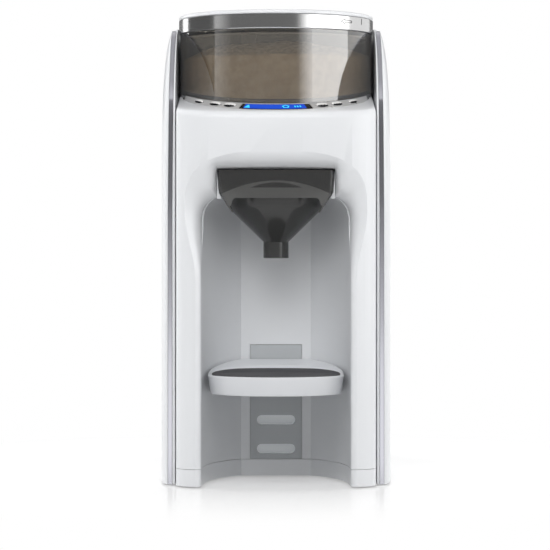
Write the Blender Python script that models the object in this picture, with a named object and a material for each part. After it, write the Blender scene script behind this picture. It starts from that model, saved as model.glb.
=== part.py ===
"""Countertop baby formula maker, modelled as the pieces it comes apart into.

Metres, +Z up. The front faces -Y. The origin is at the middle of the footprint, on the
surface that the feet stand on.
"""
import math

import bmesh
import bpy
from mathutils import Matrix, Vector

MM = 0.001
GAP = 0.3 * MM

# Layout from front to back
TRAY_OVERHANG = 12.0 * MM
CONTAINER_RADIUS = 72.3 * MM
CONTAINER_SETBACK = 21.7 * MM
FRAME_SETBACK = 48.5 * MM
FRAME_THICKNESS = 2.5 * MM
FRAME_FOOT_DEPTH = 46.0 * MM
REAR_CLEARANCE = 11.5 * MM
FRONT_DEPTH = CONTAINER_SETBACK + CONTAINER_RADIUS + FRAME_SETBACK
BODY_DEPTH = FRONT_DEPTH + FRAME_THICKNESS + FRAME_FOOT_DEPTH + REAR_CLEARANCE
TANK_GAP = 0.6 * MM
TANK_DEPTH = 89.9 * MM
TOTAL_DEPTH = TRAY_OVERHANG + BODY_DEPTH + TANK_GAP + TANK_DEPTH
TRAY_FRONT_Y = -TOTAL_DEPTH / 2
NOSE_Y = TRAY_FRONT_Y + TRAY_OVERHANG
BODY_REAR_Y = NOSE_Y + BODY_DEPTH
TANK_FRONT_Y = BODY_REAR_Y + TANK_GAP
TANK_REAR_Y = TANK_FRONT_Y + TANK_DEPTH

# Body shells; their width follows the powder container, which stands between the side skins
BODY_MARGIN = 0.5 * MM
BODY_HALF_WIDTH = CONTAINER_RADIUS + BODY_MARGIN
NOSE_DEPTH = 26.0 * MM
NOSE_POWER = 3.0
NOSE_STEPS = 22
PILLAR_SETBACK = 6.0 * MM
PILLAR_WIDTH = 18.8 * MM
WALL = 2.5 * MM
REAR_CORNER_RADIUS = 14.0 * MM
BASE_CLEARANCE = 1.2 * MM
BASE_SEAM_Z = 13.4 * MM
TOP_PLATE = 2.4 * MM
END_EASE = 1.0 * MM
PILLAR_FRONT_Y = NOSE_Y + PILLAR_SETBACK

# Powder container, its lid and the sloping deck around it
RIM_FRONT_Z = 278.2 * MM
RIM_SLOPE = 0.186
CONTAINER_HEIGHT = 62.8 * MM
SPIGOT_LENGTH = 12.7 * MM
SPIGOT_STEP = 6.0 * MM
NECK_STEP = 2.1 * MM
LID_OVERHANG = 0.7 * MM
LID_OVERLAP = 8.0 * MM
TOWER_DROP = 8.4 * MM
CONTAINER_WALL = 2.5 * MM
CONTAINER_TOP_Z = RIM_FRONT_Z + CONTAINER_HEIGHT
TOWER_TOP_Z = CONTAINER_TOP_Z - TOWER_DROP
CONTAINER_FLOOR = 2.5 * MM
NECK_RADIUS = CONTAINER_RADIUS - NECK_STEP
NECK_WALL = 2.3 * MM
SPIGOT_RADIUS = CONTAINER_RADIUS - SPIGOT_STEP
SPIGOT_BOTTOM_Z = RIM_FRONT_Z - SPIGOT_LENGTH
LID_RADIUS = CONTAINER_RADIUS + LID_OVERHANG
LID_BAND_BOTTOM_Z = CONTAINER_TOP_Z - LID_OVERLAP
LID_CAP_HEIGHT = 3.2 * MM
SEAL_HEIGHT = 2.0 * MM
SEAL_SKIRT_WALL = 1.3 * MM
SEAL_SKIRT_DROP = 4.0 * MM
SHELF_DROP = 3.0 * MM
SEAT_WALL = 2.4 * MM
SEAT_FLOOR = 2.5 * MM
AXIS_Y = NOSE_Y + CONTAINER_SETBACK + CONTAINER_RADIUS
CONTAINER_FRONT_Y = AXIS_Y - CONTAINER_RADIUS
WELL_RADIUS = LID_RADIUS + GAP
SPLIT_SETBACK = 25.5 * MM
SPLIT_Y = AXIS_Y + SPLIT_SETBACK
SHELF_HOLE_RADIUS = SPIGOT_RADIUS + SEAT_WALL + 2 * GAP
LID_CAP_BOTTOM_Z = CONTAINER_TOP_Z + SEAL_HEIGHT + 2 * GAP

# Control band
BAND_INSET = 2.7 * MM
BAND_RADIUS = CONTAINER_RADIUS - BAND_INSET
BAND_SHIFT = 16.1 * MM
BAND_THICKNESS = 2.4 * MM
BAND_HALF_ANGLE = 66.0
BAND_STEPS = 28
SHELF_ROUND_FRONT = 5.0 * MM
SHELF_ROUND_SIDE = 2.2 * MM
WINDOW_HALF_ANGLE = 19.0
WINDOW_MARGIN = 0.9 * MM
BUTTON_ANGLES = (25.2, 34.8, 47.6)
BUTTON_LENGTH = 9.4 * MM
BUTTON_SHARE = 0.6
BUTTON_HEIGHT = 3.4 * MM
BUTTON_PROUD = 0.9 * MM
BUTTON_TRAVEL = 0.8 * MM
BAND_CENTRE_Y = AXIS_Y - BAND_SHIFT

# Recess for the bottle, with the pocket above it for the funnel
BAY_HALF_WIDTH = BODY_HALF_WIDTH - PILLAR_WIDTH
BAY_NARROWING = 27.6 * MM
BAY_BACK_HALF = BAY_HALF_WIDTH - BAY_NARROWING
BAY_DEPTH = 92.7 * MM
BAY_POWER = 2.3
DECK_TO_ROOF = 67.2 * MM
BAY_ROOF_Z = RIM_FRONT_Z - DECK_TO_ROOF
BAY_COVE = 16.0 * MM
POCKET_STEP = 2.0 * MM
POCKET_HEIGHT = 21.0 * MM
POCKET_FLOOR_Z = BAY_ROOF_Z - POCKET_STEP
POCKET_TOP_Z = POCKET_FLOOR_Z + POCKET_HEIGHT
SCOOP_FADE = 50.0 * MM
SCOOP_DROP = 11.0 * MM
SCOOP_RISE = 32.0 * MM
SCOOP_EDGE = 6.8 * MM
SCOOP_FULL_Z = BAY_ROOF_Z - SCOOP_DROP
SCOOP_START_Z = SCOOP_FULL_Z - SCOOP_FADE
SCOOP_HALF_WIDTH = BODY_HALF_WIDTH - SCOOP_EDGE
SCOOP_TOP_Z = BAY_ROOF_Z + SCOOP_RISE
SCOOP_DEPTH = 18.0 * MM
SCOOP_LIP_ANGLE = 12.0
EDGE_RADIUS = 4.0 * MM
BAY_BACK_Y = PILLAR_FRONT_Y + BAY_DEPTH

# Slotted insert at the back of the recess
PANEL_MARGIN = 7.0 * MM
PANEL_HALF_WIDTH = BAY_BACK_HALF - PANEL_MARGIN
SLOT_MARGIN = 4.9 * MM
SLOT_WIDTH = 2 * (PANEL_HALF_WIDTH - SLOT_MARGIN)
SLOT_HEIGHT = 7.2 * MM
SLOT_DEPTH = 14.0 * MM
SLOT_FIRST_Z = 21.5 * MM
SLOT_PITCH = 21.75 * MM
SLOT_COUNT = 3
PANEL_ABOVE_SLOTS = 35.0 * MM
TOP_SLOT_Z = SLOT_FIRST_Z + (SLOT_COUNT - 1) * SLOT_PITCH
PANEL_TOP_Z = TOP_SLOT_Z + PANEL_ABOVE_SLOTS
SLEEVE_WALL = 2.0 * MM

# Side skins and their trims
SIDE_GAP = 0.8 * MM
SIDE_LIP = 1.8 * MM
SIDE_BULGE = 6.0 * MM
SIDE_ABOVE_TOWER = 5.4 * MM
SIDE_INNER = BODY_HALF_WIDTH + SIDE_GAP
SIDE_TOP_HALF_WIDTH = BODY_HALF_WIDTH + SIDE_LIP
SIDE_TOP_Z = TOWER_TOP_Z + SIDE_ABOVE_TOWER
SIDE_POWER = 3.0
SIDE_SETBACK = 28.5 * MM
SIDE_BULGE_DEPTH = 33.0 * MM
SWEEP_DROP = 16.2 * MM
SIDE_BEND = 30.0 * MM
SIDE_TAPER = 62.0 * MM
SIDE_SWEEP_Z = RIM_FRONT_Z - SWEEP_DROP
SIDE_BEND_Z = SIDE_SWEEP_Z - SIDE_BEND
SIDE_TAPER_Z = SIDE_SWEEP_Z - SIDE_TAPER
SIDE_MIDDLE_Z = SIDE_TAPER_Z / 2
SIDE_SWEEP_DEPTH = 72.0 * MM
SIDE_WALL = 2.6 * MM
SIDE_REAR_ROUND = 9.0 * MM
TRIM_INSET = 3.0 * MM
TRIM_WIDTH = 2.8 * MM
TRIM_INNER = BODY_HALF_WIDTH + TRIM_INSET
TRIM_OUTER = TRIM_INNER + TRIM_WIDTH
SIDE_HALF_WIDTH = TRIM_OUTER + SIDE_BULGE
TRIM_DEPTH = 2.4 * MM
TRIM_LEAN = 1.2 * MM
SIDE_FRONT_Y = NOSE_Y + SIDE_SETBACK
LUG_RADIUS = 4.0 * MM

# Funnel and its cover
SPOUT_RADIUS = 9.3 * MM
SPOUT_LENGTH = 11.9 * MM
CONE_HEIGHT = 24.4 * MM
BOWL_DEPTH = 11.5 * MM
BOWL_RADIUS = 35.5 * MM
BOWL_ABOVE_FLOOR = 4.5 * MM
BOWL_STEP = 1.2 * MM
CONE_RADIUS = BOWL_RADIUS - BOWL_STEP
BOWL_TOP_Z = POCKET_FLOOR_Z + BOWL_ABOVE_FLOOR
CONE_TOP_Z = BOWL_TOP_Z - BOWL_DEPTH
SPOUT_TOP_Z = CONE_TOP_Z - CONE_HEIGHT
SPOUT_BOTTOM_Z = SPOUT_TOP_Z - SPOUT_LENGTH
FUNNEL_WALL = 1.8 * MM
FLANGE_MARGIN = 3.7 * MM
FLANGE_HALF_WIDTH = BOWL_RADIUS + FLANGE_MARGIN
FLANGE_CLEARANCE = 3.6 * MM
POCKET_HALF_WIDTH = FLANGE_HALF_WIDTH + FLANGE_CLEARANCE
FLANGE_THICKNESS = 2.0 * MM
FLANGE_FRONT = 36.0 * MM
FLANGE_REAR = 40.0 * MM
RUNNER_HEIGHT = 2.3 * MM
COVER_CLEARANCE = 1.1 * MM
COVER_DRAFT = 1.2 * MM
COVER_TAPER = 5.7 * MM
COVER_TAPER_HEIGHT = 9.9 * MM
COVER_BELOW_BOWL = 10.0 * MM
COVER_TOP_GAP = 1.9 * MM
COVER_TOP_HALF = POCKET_HALF_WIDTH - COVER_CLEARANCE
COVER_SIDE_HALF = COVER_TOP_HALF - COVER_DRAFT
COVER_BOTTOM_HALF = COVER_SIDE_HALF - COVER_TAPER
COVER_BOTTOM_Z = BOWL_TOP_Z - COVER_BELOW_BOWL
COVER_CORNER_Z = COVER_BOTTOM_Z + COVER_TAPER_HEIGHT
COVER_TOP_Z = POCKET_TOP_Z - COVER_TOP_GAP
COVER_WALL = 2.0 * MM

# Bottle tray and its pad
TRAY_SIDE_GAP = 4.5 * MM
TRAY_HALF_WIDTH = BAY_HALF_WIDTH - TRAY_SIDE_GAP
TRAY_NOSE_DEPTH = 40.0 * MM
TRAY_ABOVE_SLOT = 15.8 * MM
TRAY_TOP_Z = TOP_SLOT_Z + TRAY_ABOVE_SLOT
TRAY_HEIGHT = 13.6 * MM
TRAY_BAY_GAP = 1.6 * MM
TRAY_RISE = 8.5 * MM
TRAY_SKIN = 2.6 * MM
TRAY_FOOT_EASE = 1.6 * MM
TRAY_DRAFT = 1.7 * MM
TRAY_BACK_GAP = 1.4 * MM
PAD_MARGIN = 3.0 * MM
PAD_BACK = 35.0 * MM
PAD_THICKNESS = 1.6 * MM
PAD_PROUD = 0.3 * MM
TONGUE_REACH = 11.0 * MM
TONGUE_CLEARANCE = 0.5 * MM

# Powder wheel and its drive
WHEEL_CLEARANCE = 3.0 * MM
OUTLET_INSET = 19.8 * MM
WHEEL_RADIUS = SPIGOT_RADIUS - CONTAINER_WALL - WHEEL_CLEARANCE
FUNNEL_Y = AXIS_Y - (WHEEL_RADIUS - OUTLET_INSET)
WHEEL_HEIGHT = 12.0 * MM
WHEEL_BORE = 8.0 * MM
POCKET_COUNT = 10
POCKET_RADIUS = 9.0 * MM
WHEEL_HUB_RADIUS = 10.0 * MM
WHEEL_HUB_HEIGHT = 8.0 * MM
WHEEL_COVER_THICKNESS = 2.0 * MM
WHEEL_COVER_HALF_ANGLE = 32.0
OUTLET_RADIUS = 10.5 * MM
STIRRER_HEIGHT = 11.0 * MM
POST_X = -20.5 * MM
POST_DROP = 2.0 * MM
POST_TOP_Z = CONTAINER_TOP_Z - POST_DROP
POST_WIDTH = 11.0 * MM
POST_THICKNESS = 5.0 * MM
SHAFT_SQUARE = 7.2 * MM
SHAFT_RADIUS = 4.0 * MM
GEAR_MODULE = 1.0 * MM
GEAR_TEETH = 44
PINION_TEETH = 14
GEAR_HEIGHT = 7.0 * MM
GEAR_ABOVE_POCKET = 10.5 * MM
GEAR_BOTTOM_Z = POCKET_TOP_Z + GEAR_ABOVE_POCKET
BACKLASH = 0.16 * MM
MOTOR_RADIUS = 17.0 * MM
MOTOR_LENGTH = 44.0 * MM
MOTOR_SHAFT_RADIUS = 1.5 * MM
CHUTE_RADIUS = 13.0 * MM
CHUTE_WALL = 1.5 * MM

# Frame and water circuit
FRAME_Y = AXIS_Y + FRAME_SETBACK
FRAME_MARGIN = 10.8 * MM
FRAME_HALF_WIDTH = BODY_HALF_WIDTH - FRAME_MARGIN
FRAME_FOOT_Z = 7.5 * MM
FRAME_BELOW_GEAR = 2.0 * MM
FRAME_TOP_Z = GEAR_BOTTOM_Z - FRAME_BELOW_GEAR
SHELF_HALF_WIDTH = 30.0 * MM
HEATER_X = -30.0 * MM
HEATER_WIDTH = 38.0 * MM
HEATER_DEPTH = 32.0 * MM
HEATER_HEIGHT = 84.0 * MM
HEATER_DROP = 32.5 * MM
HEATER_BOTTOM_Z = FRAME_TOP_Z - HEATER_DROP - HEATER_HEIGHT
PUMP_RADIUS = 17.0 * MM
PUMP_HEIGHT = 46.0 * MM
HOSE_RADIUS = 3.6 * MM
HOSE_BORE = 2.2 * MM
NOZZLE_X = -22.0 * MM
NOZZLE_BEHIND_FUNNEL = 15.5 * MM
NOZZLE_SETBACK = FUNNEL_Y - NOSE_Y + NOZZLE_BEHIND_FUNNEL
NOZZLE_RADIUS = 4.0 * MM
BOARD_THICKNESS = 1.6 * MM
BOARD_LEFT = 4.0 * MM
BOARD_WIDTH = 54.0 * MM
BOARD_HEIGHT = 132.0 * MM
BOARD_DROP = 42.5 * MM
BOARD_STANDOFF = 3.5 * MM
BOARD_PEG_INSET = 5.0 * MM
BOARD_PEG_RADIUS = 2.5 * MM
BOARD_PARTS = ((6, 30, 12, 40, 18), (34, 50, 16, 32, 12), (8, 24, 56, 72, 4), (30, 50, 60, 106, 8))

# Tank and dock
TANK_SIDE_STEP = 2.8 * MM
TANK_HALF_WIDTH = BODY_HALF_WIDTH - TANK_SIDE_STEP
TANK_REAR_CORNER = 34.0 * MM
TANK_FRONT_CORNER = 8.0 * MM
DOCK_TOP_Z = 30.5 * MM
TANK_SEAT_GAP = 0.5 * MM
TANK_DROP = 15.6 * MM
TANK_BOTTOM_Z = DOCK_TOP_Z + TANK_SEAT_GAP
TANK_TOP_Z = TOWER_TOP_Z - TANK_DROP
TANK_WALL = 2.5 * MM
TANK_LID_HEIGHT = 5.0 * MM
HINGE_RADIUS = 3.2 * MM
HINGE_PIN_RADIUS = 1.2 * MM
HINGE_MARGIN = 15.0 * MM
HINGE_EAR_INSET = 9.0 * MM
HINGE_HALF_LENGTH = TANK_HALF_WIDTH - HINGE_MARGIN
HINGE_EAR_X = HINGE_HALF_LENGTH - HINGE_EAR_INSET
HINGE_EAR_WIDTH = 5.0 * MM
VALVE_SETBACK = 20.0 * MM
VALVE_STEM_RADIUS = 3.0 * MM
VALVE_HEAD_RADIUS = 9.5 * MM
VALVE_TRAVEL = 2.5 * MM
SPIGOT_HOLE_RADIUS = 7.0 * MM
TANK_SPIGOT_RADIUS = 14.0 * MM
TANK_SPIGOT_DROP = 7.0 * MM
SPRING_TURNS = 5
SPRING_RADIUS = 5.5 * MM
SPRING_WIRE = 0.6 * MM

# Socket for the mains lead
INLET_X = 20.0 * MM
INLET_HALF = 10.0 * MM
INLET_LOW = 15.6 * MM
INLET_HIGH = 26.6 * MM
INLET_DEPTH = 11.0 * MM
PIN_RADIUS = 1.15 * MM
PIN_OFFSET = 4.4 * MM

# Feet and screws
FOOT_RADIUS = 6.0 * MM
FOOT_PEG_RADIUS = 2.5 * MM
FRONT_FOOT_INSET = 9.1 * MM
REAR_FOOT_INSET = 18.0 * MM
FRONT_FOOT_X = BODY_HALF_WIDTH - FRONT_FOOT_INSET
REAR_FOOT_X = TANK_HALF_WIDTH - REAR_FOOT_INSET
SCREW_HEAD_RADIUS = 3.4 * MM
SCREW_RADIUS = 1.7 * MM

FAR = 400.0 * MM
PAST = 30.0 * MM
ROUND_STEPS = 48


def clear_scene():
    """Empty the file of the objects it starts with."""
    for obj in list(bpy.data.objects):
        bpy.data.objects.remove(obj, do_unlink=True)


def make_material(name, colour, roughness, metallic=0.0, transmission=0.0):
    """Make a Principled material."""
    material = bpy.data.materials.new(name)
    material.use_nodes = True
    shader = material.node_tree.nodes["Principled BSDF"]
    shader.inputs["Base Color"].default_value = (*colour, 1.0)
    shader.inputs["Roughness"].default_value = roughness
    shader.inputs["Metallic"].default_value = metallic
    shader.inputs["Transmission Weight"].default_value = transmission
    material.diffuse_color = (*colour, 1.0)
    return material


def solid_from(mesh_builder):
    """Turn a bmesh into a solid whose faces point out, with bent faces split."""
    mesh_builder.normal_update()
    bent = []
    for face in mesh_builder.faces:
        start = face.verts[0].co
        if any(abs((vertex.co - start).dot(face.normal)) > 0.001 * MM for vertex in face.verts):
            bent.append(face)
    bmesh.ops.triangulate(mesh_builder, faces=bent)
    bmesh.ops.recalc_face_normals(mesh_builder, faces=mesh_builder.faces)
    if mesh_builder.calc_volume(signed=True) < 0:
        bmesh.ops.reverse_faces(mesh_builder, faces=mesh_builder.faces)
    mesh = bpy.data.meshes.new("solid")
    mesh_builder.to_mesh(mesh)
    mesh_builder.free()
    solid = bpy.data.objects.new("solid", mesh)
    bpy.context.scene.collection.objects.link(solid)
    return solid


def ladder_cap(builder, loop):
    """Close a bent loop that is symmetrical about the middle plane with level strips."""
    count = len(loop)
    twin = Vector((-loop[0].co.x, loop[0].co.y, loop[0].co.z))
    partner = min(range(count), key=lambda index: (twin - loop[index].co).length)
    left = partner // 2
    right = partner - left
    remaining = count - 2
    if left == right:
        builder.faces.new((loop[left - 1], loop[left], loop[right + 1]))
        left -= 1
        right += 1
        remaining -= 1
    while remaining > 1:
        left_next = (left - 1) % count
        right_next = (right + 1) % count
        builder.faces.new((loop[left_next], loop[left % count], loop[right % count], loop[right_next]))
        left -= 1
        right += 1
        remaining -= 2
    if remaining:
        builder.faces.new((loop[(left - 1) % count], loop[left % count], loop[right % count]))


def loft(rings, bent=False):
    """Skin a list of rings that have the same number of points, and cap both ends."""
    builder = bmesh.new()
    loops = [[builder.verts.new(point) for point in ring] for ring in rings]
    for lower, upper in zip(loops, loops[1:]):
        for index, vertex in enumerate(lower):
            following = (index + 1) % len(lower)
            builder.faces.new((vertex, lower[following], upper[following], upper[index]))
    for loop in (loops[0], loops[-1]):
        if bent:
            ladder_cap(builder, loop)
        else:
            builder.faces.new(loop)
    return solid_from(builder)


def prism(outline, bottom, top):
    """Extrude a plan outline, given as (x, y) points, between two heights."""
    return loft([[(x, y, bottom) for x, y in outline], [(x, y, top) for x, y in outline]])


def box(low_x, high_x, low_y, high_y, low_z, high_z):
    """A rectangular block between two corners."""
    outline = ((low_x, low_y), (high_x, low_y), (high_x, high_y), (low_x, high_y))
    return prism(outline, low_z, high_z)


def turned(profile, centre, segments=36):
    """Turn a closed (radius, height) profile around a vertical axis at centre."""
    builder = bmesh.new()
    rows = []
    for radius, height in profile:
        if radius == 0.0:
            rows.append([builder.verts.new((centre[0], centre[1], height))])
            continue
        row = []
        for step in range(segments):
            angle = 2 * math.pi * step / segments
            x = centre[0] + radius * math.cos(angle)
            y = centre[1] + radius * math.sin(angle)
            row.append(builder.verts.new((x, y, height)))
        rows.append(row)
    pairs = list(zip(rows, rows[1:]))
    if len(rows[0]) > 1:
        pairs.append((rows[-1], rows[0]))
    for first, second in pairs:
        for step in range(segments):
            following = (step + 1) % segments
            if len(first) == 1:
                builder.faces.new((first[0], second[following], second[step]))
            elif len(second) == 1:
                builder.faces.new((first[step], first[following], second[0]))
            else:
                corners = (first[step], first[following], second[following], second[step])
                builder.faces.new(corners)
    return solid_from(builder)


def disc(radius, bottom, top, centre, segments=36):
    """A plain upright cylinder."""
    return turned([(0.0, bottom), (radius, bottom), (radius, top), (0.0, top)], centre, segments)


def ring(outer, inner, bottom, top, centre, segments=36):
    """A plain upright tube."""
    profile = [(outer, bottom), (outer, top), (inner, top), (inner, bottom)]
    return turned(profile, centre, segments)


def frames_along(points):
    """Directions across a path, carried along it without twisting."""
    tangents = []
    for index in range(len(points)):
        before = points[max(index - 1, 0)]
        after = points[min(index + 1, len(points) - 1)]
        tangents.append((after - before).normalized())
    across = tangents[0].orthogonal().normalized()
    frames = []
    for tangent in tangents:
        across = (across - tangent * across.dot(tangent)).normalized()
        frames.append((across, tangent.cross(across)))
    return frames


def smooth_path(points, steps):
    """Points on a smooth curve through the given ones, straight at both ends."""
    points = [Vector(point) for point in points]
    path = [points[0]]
    for index in range(1, len(points) - 2):
        first, start, end, last = points[index - 1:index + 3]
        for step in range(steps):
            t = step / steps
            tangent_start = (end - first) / 2
            tangent_end = (last - start) / 2
            path.append(start * (2 * t**3 - 3 * t**2 + 1) + tangent_start * (t**3 - 2 * t**2 + t)
                        + end * (3 * t**2 - 2 * t**3) + tangent_end * (t**3 - t**2))
    return path + points[-2:]


def tube(points, radius, bore=0.0, sides=8):
    """Sweep a round section along a path, hollow if it has a bore."""
    builder = bmesh.new()
    frames = frames_along(points)

    def rows(size):
        result = []
        for point, (across, up) in zip(points, frames):
            row = []
            for side in range(sides):
                angle = 2 * math.pi * side / sides
                offset = across * math.cos(angle) + up * math.sin(angle)
                row.append(builder.verts.new(point + offset * size))
            result.append(row)
        return result

    def skin(first, second):
        for side in range(sides):
            following = (side + 1) % sides
            corners = (first[side], first[following], second[following], second[side])
            builder.faces.new(corners)

    outside = rows(radius)
    for first, second in zip(outside, outside[1:]):
        skin(first, second)
    if bore:
        inside = rows(bore)
        for first, second in zip(inside, inside[1:]):
            skin(first, second)
        skin(outside[0], inside[0])
        skin(outside[-1], inside[-1])
    else:
        builder.faces.new(outside[0])
        builder.faces.new(outside[-1])
    return solid_from(builder)


def combine(body, tool, operation):
    """Apply a Boolean of tool to body, and remove the tool."""
    modifier = body.modifiers.new("combine", "BOOLEAN")
    modifier.operation = operation
    modifier.solver = "EXACT"
    modifier.object = tool
    depsgraph = bpy.context.evaluated_depsgraph_get()
    mesh = bpy.data.meshes.new_from_object(body.evaluated_get(depsgraph))
    builder = bmesh.new()
    builder.from_mesh(mesh)
    bmesh.ops.remove_doubles(builder, verts=builder.verts, dist=0.002 * MM)
    bmesh.ops.dissolve_degenerate(builder, edges=builder.edges, dist=0.001 * MM)
    builder.to_mesh(mesh)
    builder.free()
    body.modifiers.clear()
    body.data = mesh
    bpy.data.objects.remove(tool, do_unlink=True)
    return body


def cut(body, *tools):
    """Cut each tool out of body."""
    for tool in tools:
        combine(body, tool, "DIFFERENCE")
    return body


def join(body, *tools):
    """Fuse each tool to body."""
    for tool in tools:
        combine(body, tool, "UNION")
    return body


def keep(body, tool):
    """Keep what body and tool share."""
    return combine(body, tool, "INTERSECT")


def copy_of(solid):
    """A second solid with its own mesh."""
    twin = bpy.data.objects.new("solid", solid.data.copy())
    bpy.context.scene.collection.objects.link(twin)
    return twin


def mirrored(solid):
    """The same solid on the other side of the machine."""
    twin = copy_of(solid)
    twin.data.transform(Matrix.Scale(-1.0, 4, Vector((1.0, 0.0, 0.0))))
    twin.data.flip_normals()
    return twin


def place(solid, name, material, pivot=(0.0, 0.0, 0.0)):
    """Name a finished solid, give it its material and put its origin at pivot."""
    solid.name = name
    solid.data.name = name
    solid.data.materials.clear()
    solid.data.materials.append(material)
    solid.data.transform(Matrix.Translation(-Vector(pivot)))
    solid.location = pivot
    solid.data.shade_smooth()
    solid.data.set_sharp_from_angle(angle=math.radians(35))
    return solid


def rim_z(y):
    """Height of the sloping plane that the container's lower edge lies on."""
    return RIM_FRONT_Z + RIM_SLOPE * (y - CONTAINER_FRONT_Y)


def shelf_z(y):
    """Height of the sloping top of the body below it."""
    return rim_z(y) - SHELF_DROP


def space_above(plane, offset=0.0):
    """Everything above a sloping plane."""
    corners = ((-FAR, -FAR), (FAR, -FAR), (FAR, FAR), (-FAR, FAR))
    lower = [(x, y, plane(y) + offset) for x, y in corners]
    return loft([lower, [(x, y, FAR + FAR) for x, y in corners]])


def space_below(plane, offset=0.0):
    """Everything below a sloping plane."""
    corners = ((-FAR, -FAR), (FAR, -FAR), (FAR, FAR), (-FAR, FAR))
    upper = [(x, y, plane(y) + offset) for x, y in corners]
    return loft([[(x, y, -FAR) for x, y in corners], upper])


def nose_outline(inset_x=0.0, inset_y=0.0):
    """The bowed front of the body, from its left side to its right."""
    half = BODY_HALF_WIDTH - inset_x
    depth = NOSE_DEPTH - inset_y
    points = []
    for step in range(NOSE_STEPS + 1):
        angle = math.pi * (1 - step / NOSE_STEPS)
        reach = abs(math.cos(angle)) ** (2 / NOSE_POWER)
        x = math.copysign(half * reach, math.cos(angle))
        y = NOSE_Y + NOSE_DEPTH - depth * math.sin(angle) ** (2 / NOSE_POWER)
        points.append((x, y))
    return points


def front_y(x):
    """Where the bowed front lies at a distance x from the middle."""
    right = nose_outline()[NOSE_STEPS // 2:]
    for (x0, y0), (x1, y1) in zip(right, right[1:]):
        if abs(x) <= x1:
            return y0 + (y1 - y0) * (abs(x) - x0) / (x1 - x0)
    return right[-1][1]


def front_block_outline(inset=0.0, inset_y=None, rear=SPLIT_Y):
    """Plan of the front part of the body, open to the rear cover."""
    if inset_y is None:
        inset_y = inset
    half = BODY_HALF_WIDTH - inset
    return nose_outline(inset, inset_y) + [(half, rear), (-half, rear)]


def arc_points(centre, radius, start, end, steps):
    """Points on an arc, angles in degrees."""
    points = []
    for step in range(steps + 1):
        angle = math.radians(start + (end - start) * step / steps)
        points.append((centre[0] + radius * math.cos(angle), centre[1] + radius * math.sin(angle)))
    return points


def rounded_rectangle(half, front, rear, front_radius, rear_radius, steps=6):
    """A plan outline with round corners, symmetrical about the middle plane."""
    points = arc_points((-half + front_radius, front + front_radius), front_radius, 180, 270, steps)
    points += arc_points((half - front_radius, front + front_radius), front_radius, 270, 360, steps)
    points += arc_points((half - rear_radius, rear - rear_radius), rear_radius, 0, 90, steps)
    points += arc_points((-half + rear_radius, rear - rear_radius), rear_radius, 90, 180, steps)
    return points


def bay_curve(grow=0.0, steps=9):
    """Right wall of the recess in plan, from the pillars to its flat back."""
    back_share = BAY_BACK_HALF / BAY_HALF_WIDTH
    full_depth = BAY_DEPTH / (1 - back_share**BAY_POWER) ** (1 / BAY_POWER)
    last = math.acos(back_share ** (BAY_POWER / 2))
    points = []
    for step in range(steps + 1):
        angle = last * step / steps
        x = (BAY_HALF_WIDTH + grow) * math.cos(angle) ** (2 / BAY_POWER)
        depth = (full_depth + max(grow, 0.0)) * math.sin(angle) ** (2 / BAY_POWER)
        points.append((x, PILLAR_FRONT_Y + depth))
    return points


def bay_half_at(y):
    """Half width of the recess at a place between front and back."""
    curve = bay_curve()
    for (x0, y0), (x1, y1) in zip(curve, curve[1:]):
        if y <= y1:
            share = max(y - y0, 0.0) / (y1 - y0)
            return x0 + (x1 - x0) * share
    return BAY_BACK_HALF


def bay_outline(grow=0.0, front=NOSE_Y - PAST):
    """Plan of the recess, running out past the front."""
    right = bay_curve(grow)
    left = [(-x, y) for x, y in reversed(right)]
    return [(left[-1][0], front), (right[0][0], front)] + right + left


def bay_space(grow=0.0, bottom=-20 * MM):
    """The space of the recess, with its coved roof."""
    rings = [[(x, y, bottom) for x, y in bay_outline(grow)]]
    start = BAY_ROOF_Z - BAY_COVE
    for degrees in (0, 25, 45, 62, 76, 90):
        rise = BAY_COVE * math.sin(math.radians(degrees))
        inward = BAY_COVE * (1 - math.cos(math.radians(degrees)))
        lift = grow * math.sin(math.radians(degrees))
        rings.append([(x, y, start + rise + lift) for x, y in bay_outline(grow - inward)])
    return loft(rings)


def pocket_space(grow=0.0):
    """The space above the roof in which the funnel slides."""
    half = POCKET_HALF_WIDTH + grow
    front = NOSE_Y - PAST
    return box(-half, half, front, BAY_BACK_Y - 1 * MM + grow, POCKET_FLOOR_Z - grow,
               POCKET_TOP_Z + grow)


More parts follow.
